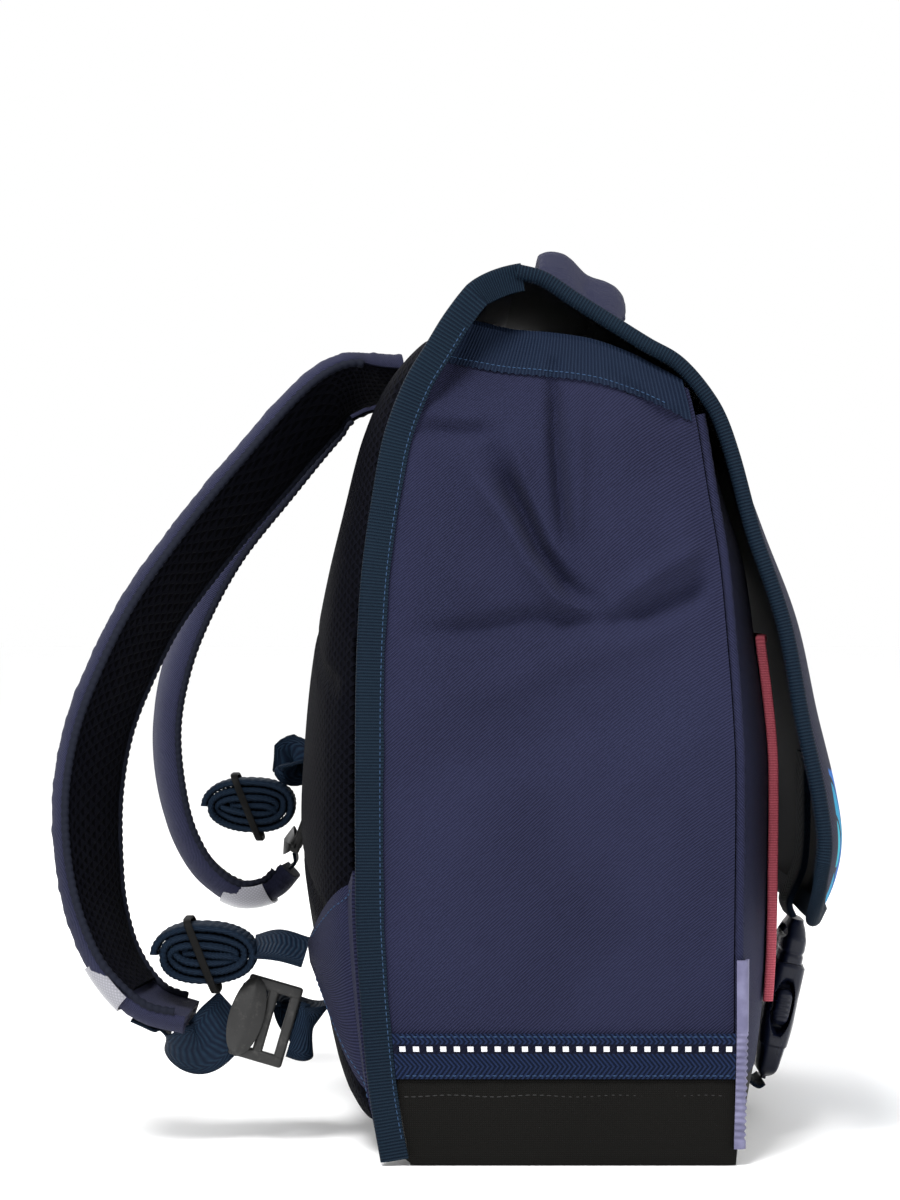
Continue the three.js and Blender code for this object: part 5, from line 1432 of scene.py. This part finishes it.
def makeBundle(word, centre, side):
    # spare webbing rolled up flat, seen edge on as a long spiral
    steps = 900
    frames = []
    for i in range(steps + 1):
        angle = 2 * math.pi * roll["turns"] * i / steps
        drawn = roll["wall"] / 2 + roll["pitch"] * angle / (2 * math.pi)
        a, b = roll["length"] / 2 - drawn, roll["height"] / 2 - drawn
        c, s = math.cos(angle), math.sin(angle)
        wob = 0.5 * math.sin(3 * angle + side) * smoothStep(0, 4, angle)
        y = math.copysign(abs(c) ** roll["squareness"], c) * (a + wob)
        z = math.copysign(abs(s) ** roll["squareness"], s) * (b + 0.5 * wob)
        frames.append(Vector((0.9 * math.sin(1.7 * angle), y, z)))
    ready = []
    for i, offset in enumerate(frames):
        run = (frames[min(i + 1, steps)] - frames[max(i - 1, 0)]).normalized()
        across = (Vector((1, 0, 0)) - run * run.x).normalized()
        ready.append((centre + offset, across, run.cross(across)))

    def sectionAt(u, v):
        angle = 2 * math.pi * u
        c, s = math.cos(angle), math.sin(angle)
        rib = 1 - 0.16 * abs(math.sin(v * 150 * math.pi)) ** 3
        x = math.copysign(abs(c) ** 0.3, c) * (webbing["width"] / 2 - 1.0)
        return (x, math.copysign(abs(s) ** 0.6, s) * roll["wall"] / 2 * rib)

    piece = sweepSection("webbing_roll_" + word, ready, sectionAt, 28, lengthOf(ready), 52)
    wearPiece(piece, strapWebbing, ["webbing_bundle_" + word], 60)

    band = []
    inside = (webbing["width"] / 2 + 0.3, roll["height"] / 2 + 0.2)
    around = 96
    for i in range(around + 1):
        angle = 2 * math.pi * i / around
        c, s = math.cos(angle), math.sin(angle)
        x = math.copysign(abs(c) ** 0.3, c) * (inside[0] + 0.5)
        z = math.copysign(abs(s) ** 0.4, s) * (inside[1] + 0.5)
        band.append(Vector((x, rubber["slant"] * z + 1.5, z)))
    loop = []
    for i in range(around):
        run = (band[(i + 1) % around] - band[i - 1]).normalized()
        outward = Vector((band[i].x, 0, band[i].z * 0.9)).normalized()
        outward = (outward - run * outward.dot(run)).normalized()
        loop.append((centre + band[i], run.cross(outward).normalized(), outward))
    loop.append(loop[0])

    def bandSection(u, v):
        angle = 2 * math.pi * u
        c, s = math.cos(angle), math.sin(angle)
        x = math.copysign(abs(c) ** 0.4, c) * rubber["width"] / 2 * 0.8
        return (x, math.copysign(abs(s) ** 0.6, s) * rubber["wall"] / 2)

    ring = sweepSection("rubber_ring_" + word, loop, bandSection, 16, lengthOf(loop), 16)
    wearPiece(ring, bandRubber, ["bundle_band_" + word], 60)


# ladder locks

lock = {"length": 24, "width": 36, "thickness": 4.4, "cheek": 5.0, "gripRise": 4.4, "gripReach": 7.5}


def makeLock(word, place, widthRun, lengthRun, outward):
    # a moulded frame with two slots, and a curved lip that is lifted to let the webbing out
    across = widthRun.normalized()
    along = (lengthRun - across * lengthRun.dot(across)).normalized()
    turn = Matrix((along, across, along.cross(across))).transposed()
    face = 1 if (turn @ Vector((0, 0, 1))).dot(outward) > 0 else -1
    halfL, halfW, halfT = lock["length"] / 2, lock["width"] / 2, lock["thickness"] / 2
    blocks = [  # lowest and highest corner
        ((-halfL, halfW - lock["cheek"], -halfT), (halfL, halfW, halfT)),
        ((-halfL, -halfW, -halfT), (halfL, -halfW + lock["cheek"], halfT)),
        ((-halfL, -halfW + 1, -halfT * 0.8), (-halfL + 4.5, halfW - 1, halfT * 0.8)),
        ((-2.2, -halfW + 1, -halfT * 0.9), (2.2, halfW - 1, halfT * 0.9)),
        ((halfL - 4.5, -halfW + 1, -halfT * 0.8), (halfL, halfW - 1, halfT * 0.8)),
    ]
    parts = []
    for low, high in blocks:
        nothingSelected()
        bpy.ops.mesh.primitive_cube_add(size=1)
        block = bpy.context.object
        for vertex in block.data.vertices:
            vertex.co = Vector([mix(low[k], high[k], vertex.co[k] + 0.5) for k in range(3)]) * mm
        applyModifier(block, "BEVEL", width=1.3 * mm, segments=4, limit_method="NONE")
        parts.append(block)

    def gripAt(u, v):
        # leaf-shaped lip with a ridge down its middle, over the near bar
        s = 2 * v - 1
        lift = halfT - 1.6 + lock["gripRise"] * (1 - s * s) ** 0.7
        reach = lock["gripReach"] * math.sqrt(max(1 - s * s, 0.03))
        c, h = math.cos(2 * math.pi * u), math.sin(2 * math.pi * u)
        ridge = 2.3 * (1 - abs(c)) ** 0.9 if h > 0 else 0.6 * h
        return Vector((-halfL + 3.5 + reach * c, s * halfW, face * (lift + ridge)))

    grip = layGrid("grip", 28, 40, gripAt, (60, 36))
    closeTube(grip)
    parts.append(grip)
    nothingSelected()
    for part in parts:
        part.select_set(True)
    bpy.context.view_layer.objects.active = parts[0]
    bpy.ops.object.join()
    piece = bpy.context.object
    piece.name = piece.data.name = "lock_moulding_" + word
    for vertex in piece.data.vertices:
        vertex.co = turn @ vertex.co + place * mm
    turnOutwards(piece)
    return wearPiece(piece, lockResin, ["ladder_lock_" + word], 45)


# where each adjuster hangs, as shares of the roll's length from the strap's lower end

adjusterLeft = {
    "lock": (0.0, 0.68, -0.04), "widthRun": Vector((0, -0.28, 0.96)), "lengthRun": Vector((0, -0.96, -0.28)),
    "bundle": (-0.03, 0.14, 0.56), "loopFromBundle": (-0.31, 0.36, -0.356),
    "loopBesideLock": (-0.4375, 0.18, 0.124), "loopPastLock": (-0.083, 0.416, -0.063),
}
adjusterRight = {
    "lock": (0.0, 0.146, 0.42), "widthRun": Vector((1, 0, 0)), "lengthRun": Vector((0, -0.35, 0.94)),
    "bundle": (-0.65, -0.36, 0.68), "loopFromBundle": (0.0, 0.3, 0.405),
}


def fromEnd(side, end, offset):
    out, inward, rise = offset
    return end + Vector((side * out, -inward, rise)) * roll["length"]


def tabApex(side):
    return tabPoint(side, 0.5, 1, tab["thickness"] + bag["curveGap"] + webbing["thickness"] + bag["gap"])


def makeAdjusterLeft(frames):
    end = frames[-1][0]
    place = fromEnd(-1, end, adjusterLeft["lock"])
    centre = fromEnd(-1, end, adjusterLeft["bundle"])
    widthRun, lengthRun = adjusterLeft["widthRun"], adjusterLeft["lengthRun"]
    makeLock("left", place, widthRun, lengthRun, Vector((-1, 0, 0)))
    makeBundle("left", centre, -1)
    step = webbing["runOut"]
    reach = lock["length"] / 2 + 2 * bag["gap"]
    near, far = place - lengthRun * reach, place + lengthRun * reach
    onStrap = (strap["thickness"] + webbing["thickness"]) / 2 + bag["curveGap"]
    rows = []  # it lies on the strap's outer face, and then turns on edge towards the lock
    for back in (24, 12):
        on, across, up = frames[-1 - back]
        rows.append((on + up * onStrap, across))
    rows += [
        (end + Vector((0, 9, -10.5)), Vector((0.8, 0, -0.6))),
        (end + Vector((0, -4, -13.5)), Vector((0.25, 0, -0.97))),
        (near.lerp(end + Vector((0, -4, -13.5)), 0.4), -widthRun), (near, -widthRun),
    ]
    webbingPiece("lower_webbing_left", rows, "strap_webbing_left")
    apex = tabApex(-1)
    leave = centre + Vector((0, -roll["length"] / 2 + 3, webbing["thickness"] * 1.8))
    wide, twisted = Vector((1, 0, 0)), Vector((0.9, 0, 0.42))
    rows = [
        (apex + Vector((0, -webbing["thickness"], 0)), twisted),
        (apex.lerp(leave, 0.5) + Vector((0, 0, 2)), twisted),
        (leave, Vector((0.96, 0, 0.28))),
    ]
    webbingPiece("anchor_run_left", rows, "anchor_webbing_left")
    rows = [
        (fromEnd(-1, centre, adjusterLeft["loopFromBundle"]), wide),
        (fromEnd(-1, place, adjusterLeft["loopBesideLock"]), Vector((1, 0, 0.2))),
        (fromEnd(-1, place, adjusterLeft["loopPastLock"]), Vector((0.4, -0.3, 0.85))),
        (far + lengthRun * 4 * step, widthRun), (far, widthRun),
    ]
    webbingPiece("loop_webbing_left", rows, "adjuster_loop_left")


def makeAdjusterRight(frames):
    end = frames[-1][0]
    run = (frames[-1][0] - frames[-2][0]).normalized()
    place = fromEnd(1, end, adjusterRight["lock"])
    centre = fromEnd(1, end, adjusterRight["bundle"])
    widthRun, lengthRun = adjusterRight["widthRun"], adjusterRight["lengthRun"]
    makeLock("right", place, widthRun, lengthRun, Vector((0, 1, 0)))
    makeBundle("right", centre, 1)
    step = webbing["runOut"]
    reach = lock["length"] / 2 + 2 * bag["gap"]
    near, top = place - lengthRun * reach, place + lengthRun * reach
    wide = Vector((1, 0, 0))
    rows = [(end + run * 2 * bag["gap"], wide), (end + run * 3 * step, wide), (near, wide)]
    webbingPiece("lower_webbing_right", rows, "strap_webbing_right")
    face = place + Vector((0, -lock["thickness"] / 2 - 2 * webbing["thickness"], 0))
    apex = tabApex(1)
    rows = [
        (apex + Vector((0, -bag["curveGap"], 0)), Vector((0.9, 0, -0.4))),
        (apex.lerp(face, 0.5), Vector((1, 0, -0.2))),
        (face - lengthRun * 4 * step, wide), (face, wide),
    ]
    webbingPiece("anchor_run_right", rows, "anchor_webbing_right")
    leave = fromEnd(1, centre, adjusterRight["loopFromBundle"])
    rows = [
        (top, wide), (top + lengthRun * 4 * step, wide),
        (top.lerp(leave, 0.5) + Vector((0, 0, 8 * step)), wide),
        (leave + Vector((0, -4 * step, step)), wide), (leave, wide),
    ]
    webbingPiece("loop_webbing_right", rows, "adjuster_loop_right")


for side, word in ((-1, "left"), (1, "right")):
    makeAnchorTab(side, word)
makeAdjusterLeft(framesLeft)
makeAdjusterRight(framesRight)
print("adjusters done")

# closure: webbing from under the flap, buckle, and the webbing that holds it below

buckle = {"top": 0.236, "lean": 12, "standOff": 8.5, "width": 50, "length": 76, "thickness": 15, "plug": 12}
buckleHeadY = frontFace(0, buckle["top"] * bag["height"]) - bag["curveGap"] - pocket["thickness"]
buckleHeadY -= buckle["thickness"] / 2
buckleHeadY -= buckle["standOff"]
buckleHead = Vector((0, buckleHeadY, buckle["top"] * bag["height"]))
buckleTurn = Matrix.Rotation(math.radians(buckle["lean"]), 3, "X")


def atBuckle(x, y, z):
    return buckleHead + buckleTurn @ Vector((x, y, z))


def mouldedShell(name, rows, columns, low, high, halfAt, dentAt, stands):
    # a rounded box section that changes down its length; dentAt presses places in
    def placeAt(u, v):
        z = mix(low, high, v)
        a, b, square = halfAt(z)
        angle = 2 * math.pi * u
        c, s = math.cos(angle), math.sin(angle)
        x = math.copysign(abs(c) ** square, c) * a
        y = math.copysign(abs(s) ** square, s) * b
        press = dentAt(x, y, z, a, b)
        return atBuckle(x + press[0], y + press[1], z)

    piece = layGrid(name, columns, rows, placeAt, (130, abs(high - low)))
    closeTube(piece)
    return wearPiece(piece, buckleResin, stands, 50)


def makeSocket():
    half, thick = buckle["width"] / 2, buckle["thickness"] / 2

    def halfAt(z):
        down = -z / buckle["length"]
        foot = smoothStep(0.84, 1.0, down)
        a = half * (0.98 - 0.1 * smoothStep(0.75, 1.0, down)) * math.sqrt(max(1 - foot**4, 0.12))
        waist = 1 - 0.08 * math.exp(-(((down - 0.5) / 0.16) ** 2))
        b = thick * mix(1.0, 0.72, smoothStep(0.6, 0.95, down)) * math.sqrt(max(1 - foot**3, 0.1))
        lip = smoothStep(0.262, 0.285, down)
        return a * waist * mix(0.94, 1, lip), b * mix(0.86, 1, lip), 0.42

    def dentAt(x, y, z, a, b):
        down = -z / buckle["length"]
        # the oval window in each side, where the prong shows
        inWindow = smoothStep(1.12, 0.9, math.hypot(y / (b * 0.62), (down - 0.53) / 0.165))
        side = smoothStep(0.62, 0.8, abs(x) / a)
        # a shallow panel on the face, and a step before the foot
        panel = smoothStep(1.1, 0.95, math.hypot(x / (a * 0.55), (down - 0.56) / 0.2))
        panel *= smoothStep(0.55, 0.9, abs(y) / b)
        step = 0.5 * smoothStep(0.765, 0.775, down)
        inX = 7.0 * inWindow * side + step * smoothStep(0.7, 0.95, abs(x) / a)
        inY = 0.9 * panel + step * smoothStep(0.6, 0.9, abs(y) / b)
        return (-math.copysign(inX, x), -math.copysign(inY, y))

    mouth = -0.262 * buckle["length"]
    mouldedShell("socket_moulding", 150, 128, mouth, -buckle["length"], halfAt, dentAt, ["buckle_socket"])


def makePlug():
    half, thick = buckle["width"] / 2, buckle["plug"] / 2

    def halfAt(z):
        down = -z / buckle["length"]
        head = smoothStep(0.0, 0.05, down)
        a = half * mix(0.6, 0.93, smoothStep(0.0, 0.12, down)) * mix(0.9, 1, head)
        b = thick * mix(0.62, 0.95, smoothStep(0.0, 0.14, down)) * mix(0.85, 1, head)
        return a, b, 0.45

    def dentAt(x, y, z, a, b):
        down = -z / buckle["length"]
        slot = smoothStep(1.1, 0.9, math.hypot(x / (a * 0.8), (down - 0.09) / 0.035))
        slot *= smoothStep(0.4, 0.8, abs(y) / b)
        groove = 0.5 * math.exp(-(((down - 0.2) / 0.012) ** 2))
        return (-math.copysign(groove, x), -math.copysign(2.6 * slot + groove, y))

    shoulder = -0.258 * buckle["length"]
    mouldedShell("plug_moulding", 60, 110, 0.0, shoulder, halfAt, dentAt, ["buckle_plug"])
    for side, word in ((-1, "left"), (1, "right")):
        centre = side * half * 0.8

        def padAt(u, v, side=side, centre=centre):
            z = -mix(0.42, 0.64, v) * buckle["length"]
            ease = math.sqrt(max(1 - abs(2 * v - 1) ** 5, 0.02))
            angle = 2 * math.pi * u
            c, s = math.cos(angle), math.sin(angle)
            x = centre + math.copysign(abs(c) ** 0.6, c) * 4.2 * ease
            ribs = 0.25 * math.cos(2 * math.pi * v * 7) * smoothStep(0.3, 0.9, c * side)
            return atBuckle(x + side * ribs, math.copysign(abs(s) ** 0.6, s) * 3.9 * ease, z)

        pad = layGrid("prong_pad_" + word, 40, 60, padAt, (25, 17))
        closeTube(pad)
        wearPiece(pad, buckleResin, [], 50)


def makeClosureWebbing():
    wide = Vector((1, 0, 0))
    behind = -flap["wall"] / 2 - 2 * bag["curveGap"] - 1.3 - 2 * webbing["thickness"]
    rows = [
        (flapPoint(0, 0.8, -flap["wall"] / 2 - webbing["thickness"] - 2 * bag["curveGap"]), wide),
        (flapPoint(0, 0.95, behind), wide),
        (flapPoint(0, 1, behind) + Vector((0, -bag["curveGap"], -2 * webbing["runOut"])), wide),
        (atBuckle(0, 2 * webbing["runOut"], bag["curveGap"] + bag["gap"]), wide),
    ]
    webbingPiece("flap_strap_webbing", rows, "flap_strap", webbing["closure"], 2 * webbing["thickness"])
    foot = atBuckle(0, 0, -buckle["length"] - bag["curveGap"])
    rise = 0.11 * bag["height"]
    seat = Vector((0, frontFace(0, rise) - bag["curveGap"] - webbing["thickness"], rise))
    rows = [
        (foot, wide), (Vector((0, mix(foot.y, seat.y, 0.5), foot.z - webbing["runOut"])), wide),
        (Vector((0, frontFace(0, rise / 2) - bag["curveGap"] - 1.5 * webbing["thickness"], rise / 2)), wide),
        (seat, wide),
    ]
    webbingPiece("lower_strap_webbing", rows, "buckle_lower_strap", webbing["closure"])


makeSocket()
makePlug()
makeClosureWebbing()
print("closure done")

# sewing that shows on the walls


def makeWallSewing():
    for side, word in ((-1, "left"), (1, "right")):
        # along the base cloth, under its top edge
        level = bag["baseBand"] - 7
        path = []
        for k in range(41):
            y = mix(frontSeam(level) + 6, backSeam(level) - 8, k / 40)
            path.append(Vector((side * (halfWidth + 0.1), y, level + 0.4 * math.sin(k * 0.6))))
        sewAlong("base_stitch_" + word, smoothLine(path, 2), "base", blackThread)
        # down the foot of the back seam's tape
        x = side * (halfWidth + 1.55)
        path = []
        for k in range(121):
            z = mix(10, bag["height"] * 0.94, k / 120)
            slope = backSeam(z + 1) - backSeam(z - 1)
            lean = math.hypot(slope, 2)
            path.append(Vector((x, backSeam(z) - 4.6 * 2 / lean, z + 4.6 * slope / lean)))
        sewAlong("edge_tape_stitch_" + word, smoothLine(path, 1), "edge", blueThread)
        # along both edges of the herringbone tape
        for share, part in ((0.07, "low"), (0.93, "high")):
            path = []
            for k in range(41):
                z = tape["low"] + share * tape["height"]
                y = mix(frontSeam(z) + guard["side"] + 2, backSeam(z) - 8, k / 40)
                x = halfWidth + tape["gap"] + tape["thickness"] + 0.1 + 0.15 * math.sin(y * 0.35)
                path.append(Vector((side * x, y, z)))
            sewAlong("tape_stitch_%s_%s" % (word, part), smoothLine(path, 1), "tape", blueThread)
        # the ribbon's lower edge
        path = []
        for k in range(61):
            share = mix(0.09, 0.91, k / 60)
            foot = 1 - 13.5 / (gussetTop(0.5) - bag["baseBand"])
            path.append(sidePoint(side, share, foot, 1.45))
        sewAlong("ribbon_stitch_" + word, smoothLine(path, 1), "ribbon", blueThread)


makeWallSewing()
print("sewing done")
